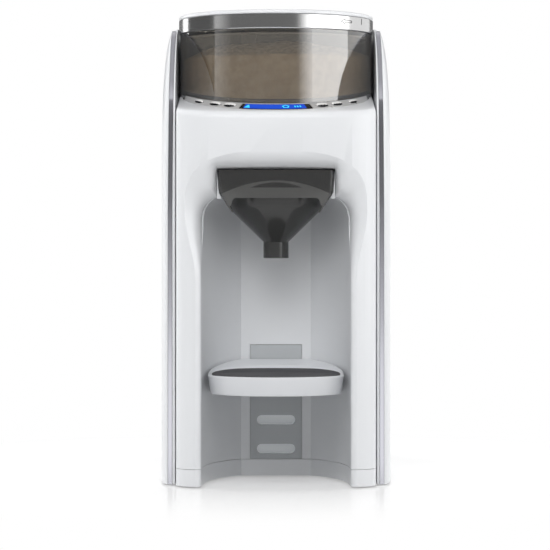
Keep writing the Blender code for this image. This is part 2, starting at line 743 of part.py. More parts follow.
def scoop_curves(grow=0.0):
    """Half of the flare: its outer border, its inner edge and its depth, from the foot up."""
    inner_half = BAY_HALF_WIDTH - 0.2 * MM
    border = []
    edge = []
    depths = []
    for z in (-20 * MM, 90 * MM, SCOOP_START_Z):
        border.append((BAY_HALF_WIDTH + EDGE_RADIUS, z))
        edge.append((inner_half, z))
        depths.append(EDGE_RADIUS)
    steps = 5
    for step in range(1, steps + 1):
        share = step / steps
        blend = share * share * (3 - 2 * share)
        start = BAY_HALF_WIDTH + EDGE_RADIUS
        z = SCOOP_START_Z + (SCOOP_FULL_Z - SCOOP_START_Z) * share
        edge_z = SCOOP_START_Z + (BAY_ROOF_Z - BAY_COVE - SCOOP_START_Z) * share
        border.append((start + (SCOOP_HALF_WIDTH - start) * blend, z))
        edge.append((inner_half, edge_z))
        depths.append(EDGE_RADIUS + (SCOOP_DEPTH - EDGE_RADIUS) * blend)
    upper = []
    centre_x = BAY_HALF_WIDTH - BAY_COVE
    pocket_half = POCKET_HALF_WIDTH - 0.2 * MM
    pocket_top = POCKET_TOP_Z - 0.2 * MM
    last = math.degrees(math.acos((pocket_half - centre_x) / BAY_COVE))
    for step in range(1, 5):
        angle = math.radians(last * step / 4)
        upper.append((centre_x + (BAY_COVE - 0.2 * MM) * math.cos(angle),
                      BAY_ROOF_Z - BAY_COVE + BAY_COVE * math.sin(angle)))
    corner_z = upper[-1][1]
    for share in (0.4, 0.8, 1.0):
        upper.append((pocket_half, corner_z + (pocket_top - corner_z) * share))
    for share in (0.8, 0.5, 0.25, 0.0):
        upper.append((pocket_half * share, pocket_top))
    for index, point in enumerate(upper):
        angle = math.pi / 2 * (index + 1) / len(upper)
        x = SCOOP_HALF_WIDTH * math.cos(angle) ** (2 / 3) if index + 1 < len(upper) else 0.0
        z = SCOOP_FULL_Z + (SCOOP_TOP_Z - SCOOP_FULL_Z) * math.sin(angle) ** (2 / 3)
        border.append((x, z))
        edge.append(point)
        depths.append(SCOOP_DEPTH)
    if grow:
        border = [grown_point(point, grow) for point in border]
        edge = [grown_point(point, grow) for point in edge]
        depths = [depth + grow for depth in depths]
    return border, edge, depths


def grown_point(point, grow):
    """Move a point of the flare away from the middle of the opening."""
    x, z = point
    centre_z = BAY_ROOF_Z - BAY_COVE
    away = Vector((x, max(z - centre_z, 0.0))).normalized()
    if x == 0.0:
        away = Vector((0.0, 1.0))
    return x + away[0] * grow, z + away[1] * grow


def scoop_space(grow=0.0):
    """The flared mouth of the recess, cut into the bowed front."""
    border, edge, depths = scoop_curves(grow)
    right = list(zip(border, edge, depths))
    left = [((-b[0], b[1]), (-e[0], e[1]), d) for b, e, d in reversed(right[:-1])]
    samples = right + left

    lip = math.radians(SCOOP_LIP_ANGLE)

    def section(angle_degrees, extra):
        angle = math.radians(angle_degrees)
        share = (1 - math.sin(angle)) / (1 - math.sin(lip))
        dip = (math.cos(lip) - math.cos(angle)) / math.cos(lip)
        points = []
        for outer, inner, depth in samples:
            x = inner[0] + (outer[0] - inner[0]) * share
            z = inner[1] + (outer[1] - inner[1]) * share
            points.append((x, front_y(outer[0]) + depth * dip + extra, z))
        return points

    rings = [section(SCOOP_LIP_ANGLE, -PAST)]
    steps = 5
    for step in range(steps + 1):
        rings.append(section(SCOOP_LIP_ANGLE + (90 - SCOOP_LIP_ANGLE) * step / steps, 0.0))
    rings.append(section(90, 3 * MM))
    return loft(rings, bent=True)


def band_reach(angle):
    """Distance from the container's axis to the band's outer edge, angle from the front."""
    sideways = BAND_SHIFT * math.sin(angle)
    return BAND_SHIFT * math.cos(angle) + math.sqrt(BAND_RADIUS**2 - sideways**2)


def band_point(angle, share, lift=0.0, inner_margin=0.0, outer_margin=0.0):
    """A point on the band: share 0 at the container, 1 at the outer edge."""
    inner = WELL_RADIUS + inner_margin
    outer = band_reach(angle) - GAP - outer_margin
    radius = inner + (outer - inner) * share
    x = radius * math.sin(angle)
    y = AXIS_Y - radius * math.cos(angle)
    slope_share = (radius - WELL_RADIUS) / (band_reach(angle) - WELL_RADIUS)
    z = rim_z(y) - SHELF_DROP * slope_share + lift
    return Vector((x, y, z))


def band_patch(half_angle, thickness, lift=0.0, inner_margin=0.0, outer_margin=0.0, steps=BAND_STEPS):
    """A plate that follows the band between two angles."""
    rings = []
    for step in range(steps + 1):
        angle = math.radians(half_angle * (2 * step / steps - 1))
        top_inner = band_point(angle, 0.0, lift, inner_margin, outer_margin)
        top_outer = band_point(angle, 1.0, lift, inner_margin, outer_margin)
        down = Vector((0.0, 0.0, -thickness))
        rings.append([top_inner, top_outer, top_outer + down, top_inner + down])
    return loft(rings)


def band_frame(angle):
    """Middle of the band at an angle, with its directions along, across and out."""
    step = math.radians(1)
    centre = band_point(angle, 0.5)
    along = (band_point(angle + step, 0.5) - band_point(angle - step, 0.5)).normalized()
    across = (band_point(angle, 1.0) - band_point(angle, 0.0)).normalized()
    out = along.cross(across)
    if out.z < 0:
        out = -out
    out.normalize()
    return centre, along, out.cross(along), out


def oval_prism(frame, length, width, low, high, crown=0.0, steps=16):
    """An oval block standing on the band, between two heights along its normal."""
    centre, along, across, out = frame
    levels = [(low, 1.0), (high - crown, 1.0)]
    if crown:
        levels += [(high - crown * 0.35, 0.93), (high, 0.72)]
    rings = []
    for height, scale in levels:
        points = []
        for step in range(steps):
            angle = 2 * math.pi * step / steps
            points.append(centre + out * height + along * math.cos(angle) * length / 2 * scale
                          + across * math.sin(angle) * width / 2 * scale)
        rings.append(points)
    return loft(rings)


def build_base_pan():
    """The skirt and floor of the machine, cut away under the recess."""
    def outline(inset):
        half = BODY_HALF_WIDTH - inset
        tank_half = TANK_HALF_WIDTH - inset
        step_y = BODY_REAR_Y - 8 * MM
        points = nose_outline(inset, inset)
        points += [(half, step_y), (tank_half, step_y + 8 * MM)]
        centre = (TANK_HALF_WIDTH - TANK_REAR_CORNER, TANK_REAR_Y - TANK_REAR_CORNER)
        radius = TANK_REAR_CORNER - inset
        points += arc_points(centre, radius, 0, 90, 7)
        points += arc_points((-centre[0], centre[1]), radius, 90, 180, 7)
        points += [(-tank_half, step_y + 8 * MM), (-half, step_y)]
        return points

    pan = prism(outline(0.0), BASE_CLEARANCE, BASE_SEAM_Z)
    room = prism(outline(WALL), BASE_CLEARANCE + WALL, BASE_SEAM_Z + 20 * MM)
    cut(room, bay_space(WALL, bottom=-PAST))
    cut(pan, room)
    foot_edge = scoop_space()
    cut(pan, foot_edge)
    cut(pan, bay_space())
    for x, y in foot_places():
        cut(pan, disc(FOOT_PEG_RADIUS + GAP, -5 * MM, 10 * MM, (x, y), 12))
    for x, y in screw_places():
        join(pan, disc(5.5 * MM, BASE_CLEARANCE + 1 * MM, FRAME_FOOT_Z - GAP, (x, y), 12))
        cut(pan, disc(SCREW_RADIUS + GAP, -5 * MM, 20 * MM, (x, y), 10))
        cut(pan, disc(SCREW_HEAD_RADIUS + GAP, -5 * MM, BASE_CLEARANCE + 2.2 * MM, (x, y), 12))
    return pan


def foot_places():
    """Middles of the four feet."""
    front = NOSE_Y + 36 * MM
    rear = TANK_REAR_Y - 24 * MM
    return ((FRONT_FOOT_X, front), (-FRONT_FOOT_X, front), (REAR_FOOT_X, rear), (-REAR_FOOT_X, rear))


def screw_places():
    """Middles of the four base screws."""
    near = FRAME_Y + FRAME_THICKNESS + 9 * MM
    far = FRAME_Y + FRAME_THICKNESS + FRAME_FOOT_DEPTH - 8 * MM
    side = FRAME_HALF_WIDTH - 8 * MM
    return ((side, near), (-side, near), (side, far), (-side, far))


def build_foot(x, y):
    """A rubber foot with the peg that holds it in the pan."""
    top = BASE_CLEARANCE - GAP
    peg_top = BASE_CLEARANCE + WALL + 0.8 * MM
    profile = [(0.0, 0.0), (FOOT_RADIUS - 0.4 * MM, 0.0), (FOOT_RADIUS, 0.4 * MM), (FOOT_RADIUS, top),
               (FOOT_PEG_RADIUS, top), (FOOT_PEG_RADIUS, peg_top), (0.0, peg_top)]
    return turned(profile, (x, y), 16)


def build_base_screw(x, y):
    """A screw that holds the pan to the frame."""
    head_bottom = BASE_CLEARANCE + 0.2 * MM
    head_top = BASE_CLEARANCE + 2.2 * MM - GAP
    tip = FRAME_FOOT_Z + FRAME_THICKNESS + 1.5 * MM
    profile = [(0.0, head_bottom), (SCREW_HEAD_RADIUS, head_bottom), (SCREW_HEAD_RADIUS, head_top),
               (SCREW_RADIUS, head_top), (SCREW_RADIUS, tip - 1 * MM), (0.0, tip)]
    return turned(profile, (x, y), 12)


def build_front_housing():
    """Pillars, forehead and the walls of the recess."""
    bottom = BASE_SEAM_Z + GAP

    def at_height(outline, z):
        return [(x, y, z) for x, y in outline]

    def on_shelf(outline, drop):
        return [(x, y, shelf_z(y) - drop) for x, y in outline]

    rings = [at_height(front_block_outline(), bottom)]
    for degrees in (0, 22, 45, 67, 90):
        angle = math.radians(degrees)
        inward = 1 - math.cos(angle)
        outline = front_block_outline(SHELF_ROUND_SIDE * inward, SHELF_ROUND_FRONT * inward)
        rings.append(on_shelf(outline, SHELF_ROUND_FRONT * (1 - math.sin(angle))))
    housing = loft(rings)

    inside = front_block_outline(WALL, rear=SPLIT_Y + 10 * MM)
    room = loft([at_height(inside, -10 * MM), on_shelf(inside, WALL + 1.2 * MM)])
    cut(room, bay_space(WALL), scoop_space(WALL), pocket_space(WALL))
    cut(housing, room)
    cut(housing, scoop_space(), bay_space(), pocket_space())

    shelf_low = RIM_FRONT_Z - 30 * MM
    shelf_high = TOWER_TOP_Z
    cut(housing, disc(SHELF_HOLE_RADIUS, shelf_low, shelf_high, (0.0, AXIS_Y), ROUND_STEPS))
    cut(housing, disc(BAND_RADIUS, shelf_low, shelf_high, (0.0, BAND_CENTRE_Y), ROUND_STEPS))
    insert = PANEL_HALF_WIDTH + GAP
    cut(housing, box(-insert, insert, BAY_BACK_Y - 8 * MM, BAY_BACK_Y + 8 * MM, 0.0,
                     PANEL_TOP_Z + GAP))
    ceiling = POCKET_TOP_Z - 5 * MM
    cut(housing, disc(CHUTE_RADIUS - CHUTE_WALL, ceiling, ceiling + 20 * MM, (0.0, FUNNEL_Y), 32))
    nozzle = (NOZZLE_X, NOSE_Y + NOZZLE_SETBACK)
    cut(housing, disc(NOZZLE_RADIUS + GAP, ceiling, ceiling + 20 * MM, nozzle, 16))
    return housing


def slot_outline(width, height, z, y):
    """A slot with round ends, as seen from the front."""
    radius = height / 2 - 0.01 * MM
    reach = width / 2 - radius
    points = []
    for x, h in arc_points((reach, 0.0), radius, -90, 90, 8) + arc_points((-reach, 0.0), radius, 90, 270, 8):
        points.append((x, y, z + h))
    return points


def slot_heights():
    """Heights of the tray slots."""
    return [SLOT_FIRST_Z + SLOT_PITCH * index for index in range(SLOT_COUNT)]


def build_slot_panel():
    """The insert with the slots that carry the tray, each with a sleeve behind it."""
    back = BAY_BACK_Y + WALL - GAP
    panel = box(-PANEL_HALF_WIDTH, PANEL_HALF_WIDTH, BAY_BACK_Y, back, BASE_SEAM_Z + GAP, PANEL_TOP_Z)
    for z in slot_heights():
        width = SLOT_WIDTH + 2 * SLEEVE_WALL
        height = SLOT_HEIGHT + 2 * SLEEVE_WALL
        end = BAY_BACK_Y + SLOT_DEPTH + SLEEVE_WALL
        sleeve = loft([slot_outline(width, height, z, back - 1 * MM), slot_outline(width, height, z, end)])
        join(panel, sleeve)
        opening = loft([slot_outline(SLOT_WIDTH, SLOT_HEIGHT, z, BAY_BACK_Y - 5 * MM),
                        slot_outline(SLOT_WIDTH, SLOT_HEIGHT, z, BAY_BACK_Y + SLOT_DEPTH)])
        cut(panel, opening)
    return panel


def rear_outline(inset, front):
    """Plan of the rear part of the body."""
    half = BODY_HALF_WIDTH - inset
    centre = (BODY_HALF_WIDTH - REAR_CORNER_RADIUS, BODY_REAR_Y - REAR_CORNER_RADIUS)
    radius = REAR_CORNER_RADIUS - inset
    points = [(-half, front), (half, front)]
    points += arc_points(centre, radius, 0, 90, 6)
    points += arc_points((-centre[0], centre[1]), radius, 90, 180, 6)
    return points


def build_rear_cover():
    """The back shell of the body, up to the plate that closes it."""
    top = TOWER_TOP_Z - TOP_PLATE - GAP
    cover = prism(rear_outline(0.0, SPLIT_Y + GAP), BASE_SEAM_Z + GAP, top)
    cut(cover, prism(rear_outline(WALL, SPLIT_Y - 10 * MM), 0.0, top + 10 * MM))
    notch_top = DOCK_TOP_Z - 4 * MM
    cut(cover, box(-14 * MM, 14 * MM, BODY_REAR_Y - 10 * MM, BODY_REAR_Y + 5 * MM, 0.0, notch_top))
    return cover


def build_top_cover():
    """The plate behind the container, with the curved wall of the container's well."""
    bottom = TOWER_TOP_Z - TOP_PLATE
    centre = (0.0, AXIS_Y)
    plate = loft([[(x, y, bottom) for x, y in rear_outline(0.0, SPLIT_Y + GAP)],
                  [(x, y, TOWER_TOP_Z - END_EASE) for x, y in rear_outline(0.0, SPLIT_Y + GAP)],
                  [(x, y, TOWER_TOP_Z) for x, y in rear_outline(END_EASE, SPLIT_Y + GAP)]])
    wall = disc(WELL_RADIUS + WALL, RIM_FRONT_Z - 20 * MM, bottom + 1 * MM, centre, ROUND_STEPS)
    keep(wall, prism(rear_outline(WALL + GAP, SPLIT_Y + GAP), 0.0, TOWER_TOP_Z))
    cut(wall, space_below(shelf_z, GAP))
    join(plate, wall)
    cut(plate, disc(WELL_RADIUS, 0.0, FAR, centre, ROUND_STEPS))
    return plate


def side_half_at(z):
    """Half width of the side skins at a height."""
    share = min(max((z - SIDE_TAPER_Z) / (SIDE_TOP_Z - SIDE_TAPER_Z), 0.0), 1.0)
    drop = SIDE_HALF_WIDTH - SIDE_TOP_HALF_WIDTH
    return SIDE_TOP_HALF_WIDTH + drop * (1 - share**SIDE_POWER) ** (1 / SIDE_POWER)


def side_edge_y(z):
    """Front edge of the side skins at a height: upright, then swept back."""
    if z <= SIDE_SWEEP_Z:
        return SIDE_FRONT_Y
    share = min((z - SIDE_SWEEP_Z) / (SIDE_TOP_Z - SIDE_SWEEP_Z), 1.0)
    return SIDE_FRONT_Y + SIDE_SWEEP_DEPTH * (1 - math.sqrt(1 - share * share))


def trim_lean(z):
    """How far the trims lean in towards the top."""
    share = min(max((z - SIDE_TAPER_Z) / (SIDE_TOP_Z - SIDE_TAPER_Z), 0.0), 1.0)
    return TRIM_LEAN * share


def side_heights():
    """Heights of the side skins' sections, closer together in the sweep."""
    heights = [BASE_CLEARANCE, EDGE_RADIUS, SIDE_MIDDLE_Z, SIDE_TAPER_Z, SIDE_BEND_Z, SIDE_SWEEP_Z]
    steps = 9
    for step in range(1, steps + 1):
        angle = math.pi / 2 * step / steps
        heights.append(SIDE_SWEEP_Z + (SIDE_TOP_Z - SIDE_SWEEP_Z) * math.sin(angle))
    return heights


def side_section(z, inset=0.0):
    """One level section of the right side skin."""
    half = side_half_at(z) - inset
    front = side_edge_y(z) + inset
    rear = BODY_REAR_Y - inset
    edge = min(TRIM_OUTER - trim_lean(z) + 0.2 * MM, side_half_at(z)) - inset
    points = []
    for step in range(9):
        angle = math.pi / 2 * step / 8
        x = edge + (half - edge) * math.sin(angle)
        y = front + SIDE_BULGE_DEPTH * (1 - math.cos(angle))
        points.append((x, y, z))
    for step in range(5):
        angle = math.pi / 2 * step / 4
        rounding = min(SIDE_REAR_ROUND, half - SIDE_INNER)
        x = half - rounding * (1 - math.cos(angle))
        y = rear - SIDE_REAR_ROUND * (1 - math.sin(angle))
        points.append((x, y, z))
    inner = SIDE_INNER - (20 * MM if inset else 0.0)
    points.append((inner, rear, z))
    points.append((inner, front, z))
    return points


def trim_strip(extra, front_extra=0.0):
    """The strip that runs up the front edge of the right side skin."""
    heights = [BASE_CLEARANCE - extra] + side_heights()[2:]
    path = []
    for z in heights:
        path.append(Vector((0.0, side_edge_y(z), z)))
    rings = []
    for index, point in enumerate(path):
        before = path[max(index - 1, 0)]
        after = path[min(index + 1, len(path) - 1)]
        along = (after - before).normalized()
        inward = Vector((0.0, along.z, -along.y))
        outer = TRIM_OUTER - trim_lean(point.z) + extra
        inner = TRIM_INNER - trim_lean(point.z) - extra
        front = point - inward * front_extra
        back = point + inward * (TRIM_DEPTH + extra)
        rings.append([(inner, front.y, front.z), (outer, front.y, front.z), (outer, back.y, back.z),
                      (inner, back.y, back.z)])
    return loft(rings)


def build_side_panel():
    """The right side skin, hollow below the deck, with a rabbet for its trim."""
    panel = loft([side_section(z) for z in side_heights()])
    hollow_top = RIM_FRONT_Z - 8 * MM
    heights = [BASE_CLEARANCE + SIDE_WALL, SIDE_MIDDLE_Z, SIDE_TAPER_Z, SIDE_BEND_Z, SIDE_SWEEP_Z, hollow_top]
    cut(panel, loft([side_section(z, SIDE_WALL) for z in heights]))
    cut(panel, trim_strip(GAP, front_extra=4 * MM))
    for y in (SPLIT_Y - 50 * MM, SPLIT_Y + 50 * MM):
        for z in (60 * MM, 200 * MM):
            lug = loft([[(x, py + y, pz + z) for py, pz in arc_points((0.0, 0.0), LUG_RADIUS, 0, 330, 11)]
                        for x in (BODY_HALF_WIDTH + GAP, side_half_at(z) - 1.2 * MM)])
            join(panel, lug)
    return panel


def build_side_trim():
    """The bright strip along the right side skin's front edge."""
    strip = trim_strip(0.0, front_extra=0.5 * MM)
    cut(strip, box(0.0, FAR, -FAR, FAR, SIDE_TOP_Z - 3 * MM, FAR))
    return strip


def build_control_panel():
    """The crescent band around the front of the container."""
    panel = band_patch(BAND_HALF_ANGLE, BAND_THICKNESS)
    cut(panel, band_patch(WINDOW_HALF_ANGLE, 3 * BAND_THICKNESS, BAND_THICKNESS, WINDOW_MARGIN - GAP,
                          WINDOW_MARGIN - GAP, 16))
    for angle in button_angles():
        width = button_width(angle) + 2 * GAP
        cut(panel, oval_prism(band_frame(angle), BUTTON_LENGTH + 2 * GAP, width, -8 * MM, 8 * MM))
    return panel


def button_width(angle):
    """Width of a button, in proportion to the band where it stands."""
    return BUTTON_SHARE * (band_reach(angle) - WELL_RADIUS)


def button_angles():
    """Angles of the buttons around the container, left side first."""
    right = [math.radians(angle) for angle in BUTTON_ANGLES]
    return [-angle for angle in reversed(right)] + right


def build_lcd_window():
    """The display window in the middle of the band."""
    half_angle = WINDOW_HALF_ANGLE - math.degrees(GAP / WELL_RADIUS)
    return band_patch(half_angle, BAND_THICKNESS - 0.4 * MM, 0.0, WINDOW_MARGIN, WINDOW_MARGIN, 16)


def build_button(angle):
    """A button cap, standing in its oval hole."""
    return oval_prism(band_frame(angle), BUTTON_LENGTH, button_width(angle), BUTTON_PROUD - BUTTON_HEIGHT,
                      BUTTON_PROUD, crown=0.7 * MM)


def build_display_board():
    """The circuit board under the band."""
    drop = BUTTON_HEIGHT + BUTTON_TRAVEL + 1.2 * MM
    board = band_patch(56.0, BOARD_THICKNESS, -drop, 0.8 * MM, 1.2 * MM, 24)
    module = band_patch(WINDOW_HALF_ANGLE - 3, drop - BAND_THICKNESS, -BAND_THICKNESS, 2 * MM, 3 * MM, 8)
    return join(board, module)


def build_container_seat():
    """The dish that carries the container and guides the drive shaft."""
    centre = (0.0, AXIS_Y)
    inner = SPIGOT_RADIUS + GAP
    floor_top = SPIGOT_BOTTOM_Z - GAP
    floor_bottom = floor_top - SEAT_FLOOR
    seat = disc(CONTAINER_RADIUS - 0.4 * MM, floor_bottom, TOWER_TOP_Z, centre, ROUND_STEPS)
    cut(seat, space_above(rim_z, -GAP))
    side = ring(FAR, inner + SEAT_WALL, -FAR, FAR, centre, ROUND_STEPS)
    keep(side, space_below(shelf_z, GAP))
    cut(seat, side)
    cut(seat, disc(inner, floor_top, FAR, centre, ROUND_STEPS))
    cut(seat, disc(SHAFT_RADIUS + GAP, 0.0, FAR, centre, 24))
    cut(seat, disc(CHUTE_RADIUS - CHUTE_WALL, 0.0, FAR, (0.0, FUNNEL_Y), 32))
    return seat


def build_powder_container():
    """The clear container, with its floor, outlet and the hole for the drive."""
    centre = (0.0, AXIS_Y)
    step_z = LID_BAND_BOTTOM_Z - GAP
    outer = turned([(0.0, SPIGOT_BOTTOM_Z), (CONTAINER_RADIUS, SPIGOT_BOTTOM_Z),
                    (CONTAINER_RADIUS, step_z), (NECK_RADIUS, step_z), (NECK_RADIUS, CONTAINER_TOP_Z),
                    (0.0, CONTAINER_TOP_Z)], centre, ROUND_STEPS)
    skirt = ring(FAR, SPIGOT_RADIUS, -FAR, FAR, centre, ROUND_STEPS)
    keep(skirt, space_below(rim_z))
    cut(outer, skirt)
    wide = CONTAINER_RADIUS - CONTAINER_WALL
    throat = NECK_RADIUS - NECK_WALL
    room = turned([(0.0, SPIGOT_BOTTOM_Z), (wide, SPIGOT_BOTTOM_Z), (wide, step_z - 2.5 * MM),
                   (throat, step_z), (throat, FAR), (0.0, FAR)], centre, ROUND_STEPS)
    cut(room, space_below(rim_z, CONTAINER_WALL))
    cut(outer, room)
    floor_top = SPIGOT_BOTTOM_Z + CONTAINER_FLOOR
    spigot_inner = SPIGOT_RADIUS - CONTAINER_WALL
    cut(outer, disc(spigot_inner, floor_top, LID_BAND_BOTTOM_Z - 20 * MM, centre, ROUND_STEPS))
    cut(outer, disc(SHAFT_SQUARE * 0.75 + GAP, 0.0, floor_top + 5 * MM, centre, 24))
    cut(outer, disc(OUTLET_RADIUS, 0.0, floor_top + 5 * MM, (0.0, FUNNEL_Y), 32))
    return outer


def build_lid_seal():
    """The ring that closes the container's rim, with a skirt inside its neck."""
    centre = (0.0, AXIS_Y)
    bottom = CONTAINER_TOP_Z + GAP
    skirt_outer = NECK_RADIUS - NECK_WALL - GAP
    inner = skirt_outer - SEAL_SKIRT_WALL
    skirt_bottom = LID_BAND_BOTTOM_Z - SEAL_SKIRT_DROP
    profile = [(inner, skirt_bottom), (skirt_outer, skirt_bottom), (skirt_outer, bottom),
               (NECK_RADIUS, bottom), (NECK_RADIUS, bottom + SEAL_HEIGHT), (inner, bottom + SEAL_HEIGHT)]
    return turned(profile, centre, ROUND_STEPS)


def build_lid_cap():
    """The white top of the lid, with a shallow centre boss."""
    top = LID_CAP_BOTTOM_Z + LID_CAP_HEIGHT
    profile = [(0.0, LID_CAP_BOTTOM_Z), (LID_RADIUS - 0.6 * MM, LID_CAP_BOTTOM_Z),
               (LID_RADIUS, LID_CAP_BOTTOM_Z + 0.6 * MM), (LID_RADIUS, top - 1.6 * MM),
               (LID_RADIUS - 0.5 * MM, top - 0.6 * MM), (LID_RADIUS - 1.8 * MM, top),
               (LID_RADIUS - 8 * MM, top), (LID_RADIUS - 10 * MM, top - 0.8 * MM),
               (0.0, top - 0.8 * MM)]
    return turned(profile, (0.0, AXIS_Y), ROUND_STEPS)


def build_lid_band():
    """The silver band under the cap, around the container's neck."""
    inner = NECK_RADIUS + GAP
    top = LID_CAP_BOTTOM_Z - GAP
    profile = [(inner, LID_BAND_BOTTOM_Z), (LID_RADIUS - 0.5 * MM, LID_BAND_BOTTOM_Z),
               (LID_RADIUS, LID_BAND_BOTTOM_Z + 0.6 * MM), (LID_RADIUS, top), (inner, top)]
    return turned(profile, (0.0, AXIS_Y), ROUND_STEPS)


def wheel_top():
    """Height of the wheel's upper face."""
    return SPIGOT_BOTTOM_Z + CONTAINER_FLOOR + GAP + WHEEL_HEIGHT


def build_dosing_wheel():
    """The metering wheel, with a ring of pockets and a square bore."""
    centre = (0.0, AXIS_Y)
    bottom = wheel_top() - WHEEL_HEIGHT
    hub_top = wheel_top() + WHEEL_HUB_HEIGHT
    profile = [(0.0, bottom), (WHEEL_RADIUS, bottom), (WHEEL_RADIUS, wheel_top()),
               (WHEEL_HUB_RADIUS, wheel_top()), (WHEEL_HUB_RADIUS, hub_top), (0.0, hub_top)]
    wheel = turned(profile, centre, 40)
    reach = AXIS_Y - FUNNEL_Y
    for index in range(POCKET_COUNT):
        angle = 2 * math.pi * index / POCKET_COUNT - math.pi / 2
        place_at = (reach * math.cos(angle), AXIS_Y + reach * math.sin(angle))
        cut(wheel, disc(POCKET_RADIUS, 0.0, FAR, place_at, 12))
    half = WHEEL_BORE / 2
    cut(wheel, box(-half, half, AXIS_Y - half, AXIS_Y + half, 0.0, hub_top - 2 * MM))
    return wheel


def build_wheel_cover():
    """The fixed plate that wipes the wheel level over the outlet."""
    outer = SPIGOT_RADIUS - CONTAINER_WALL - GAP
    inner = WHEEL_HUB_RADIUS + 2 * MM
    bottom = wheel_top() + GAP
    points = arc_points((0.0, AXIS_Y), outer, -90 - WHEEL_COVER_HALF_ANGLE, -90 + WHEEL_COVER_HALF_ANGLE, 14)
    points += arc_points((0.0, AXIS_Y), inner, -90 + WHEEL_COVER_HALF_ANGLE, -90 - WHEEL_COVER_HALF_ANGLE, 6)
    return prism(points, bottom, bottom + WHEEL_COVER_THICKNESS)


def build_stirrer():
    """The stirrer on the wheel's hub: two arms and a tall ribbed post."""
    centre = (0.0, AXIS_Y)
    bottom = wheel_top() + WHEEL_HUB_HEIGHT + GAP
    top = bottom + STIRRER_HEIGHT
    stirrer = disc(WHEEL_HUB_RADIUS, bottom, top, centre, 32)
    reach = SPIGOT_RADIUS - CONTAINER_WALL - 5 * MM
    arm = box(-reach, reach, AXIS_Y - 2.5 * MM, AXIS_Y + 2.5 * MM, bottom + 1 * MM, bottom + 5 * MM)
    join(stirrer, arm)
    half = POST_THICKNESS / 2
    post = box(POST_X - POST_WIDTH / 2, POST_X + POST_WIDTH / 2, AXIS_Y - half, AXIS_Y + half,
               bottom + 1.5 * MM, POST_TOP_Z)
    join(stirrer, post)
    ribs = 3
    for index in range(ribs):
        x = POST_X + (index - 1) * POST_WIDTH / 3
        rib = box(x - 0.9 * MM, x + 0.9 * MM, AXIS_Y - half - 1.5 * MM, AXIS_Y + half + 1.5 * MM,
                  bottom + 6 * MM, POST_TOP_Z - 1 * MM)
        join(stirrer, rib)
    return stirrer


def build_drive_shaft():
    """The shaft from the gear up into the wheel's square bore."""
    centre = (0.0, AXIS_Y)
    bottom = POCKET_TOP_Z + WALL + 1.2 * MM
    square_bottom = SPIGOT_BOTTOM_Z + 1 * MM
    shaft = disc(SHAFT_RADIUS, bottom, square_bottom + 1 * MM, centre, 24)
    half = SHAFT_SQUARE / 2
    top = wheel_top() + WHEEL_HUB_HEIGHT - 3 * MM
    join(shaft, box(-half, half, AXIS_Y - half, AXIS_Y + half, square_bottom, top))
    return shaft


def gear(teeth, bore, centre, phase):
    """A spur gear with straight-flanked teeth and a round bore."""
    pitch = GEAR_MODULE * teeth / 2
    root = pitch - 1.2 * GEAR_MODULE
    tip = pitch + 0.9 * GEAR_MODULE
    pitch_half = math.pi * GEAR_MODULE / 4 - BACKLASH
    root_half = pitch_half * 1.55
    tip_half = pitch_half * 0.55
    points = []
    for tooth in range(teeth):
        middle = 2 * math.pi * tooth / teeth + phase
        for radius, half in ((root, -root_half), (tip, -tip_half), (tip, tip_half), (root, root_half)):
            angle = middle + half / radius
            points.append((centre[0] + radius * math.cos(angle), centre[1] + radius * math.sin(angle)))
    wheel = prism(points, GEAR_BOTTOM_Z, GEAR_BOTTOM_Z + GEAR_HEIGHT)
    return cut(wheel, disc(bore, 0.0, FAR, centre, 24))


def pinion_centre():
    """Axis of the motor and its pinion, behind the drive gear."""
    return (0.0, AXIS_Y + GEAR_MODULE * (GEAR_TEETH + PINION_TEETH) / 2)


def build_drive_gear():
    """The gear on the drive shaft, with a tooth pointing at the pinion."""
    return gear(GEAR_TEETH, SHAFT_RADIUS + 0.2 * MM, (0.0, AXIS_Y), math.pi / 2)


def build_motor_pinion():
    """The pinion on the motor's shaft, with a gap facing the gear."""
    phase = -math.pi / 2 + math.pi / PINION_TEETH
    return gear(PINION_TEETH, MOTOR_SHAFT_RADIUS + 0.2 * MM, pinion_centre(), phase)


def build_powder_motor():
    """The motor under the frame's shelf, with its shaft."""
    top = FRAME_TOP_Z - FRAME_THICKNESS - GAP
    shaft_top = GEAR_BOTTOM_Z + GEAR_HEIGHT - 0.5 * MM
    profile = [(0.0, top - MOTOR_LENGTH), (MOTOR_RADIUS - 1 * MM, top - MOTOR_LENGTH),
               (MOTOR_RADIUS, top - MOTOR_LENGTH + 1 * MM), (MOTOR_RADIUS, top),
               (MOTOR_SHAFT_RADIUS, top), (MOTOR_SHAFT_RADIUS, shaft_top), (0.0, shaft_top)]
    return turned(profile, pinion_centre(), 32)


def build_powder_chute():
    """The tube that drops powder from the seat into the funnel."""
    bottom = POCKET_TOP_Z + WALL + GAP
    top = SPIGOT_BOTTOM_Z - GAP - SEAT_FLOOR - GAP
    return ring(CHUTE_RADIUS, CHUTE_RADIUS - CHUTE_WALL, bottom, top, (0.0, FUNNEL_Y), 32)


def build_funnel_guide():
    """The runners that carry the funnel's flange, joined at the back."""
    top = BOWL_TOP_Z - GAP
    bottom = top - RUNNER_HEIGHT
    half = POCKET_HALF_WIDTH - GAP
    front = PILLAR_FRONT_Y + SCOOP_DEPTH + 4 * MM
    rear = BAY_BACK_Y - 1 * MM - GAP
    guide = box(-half, half, front, rear, bottom, top)
    opening = BOWL_RADIUS + 1.2 * MM
    return cut(guide, box(-opening, opening, front - 10 * MM, rear - 3 * MM, bottom - 5 * MM, top + 5 * MM))


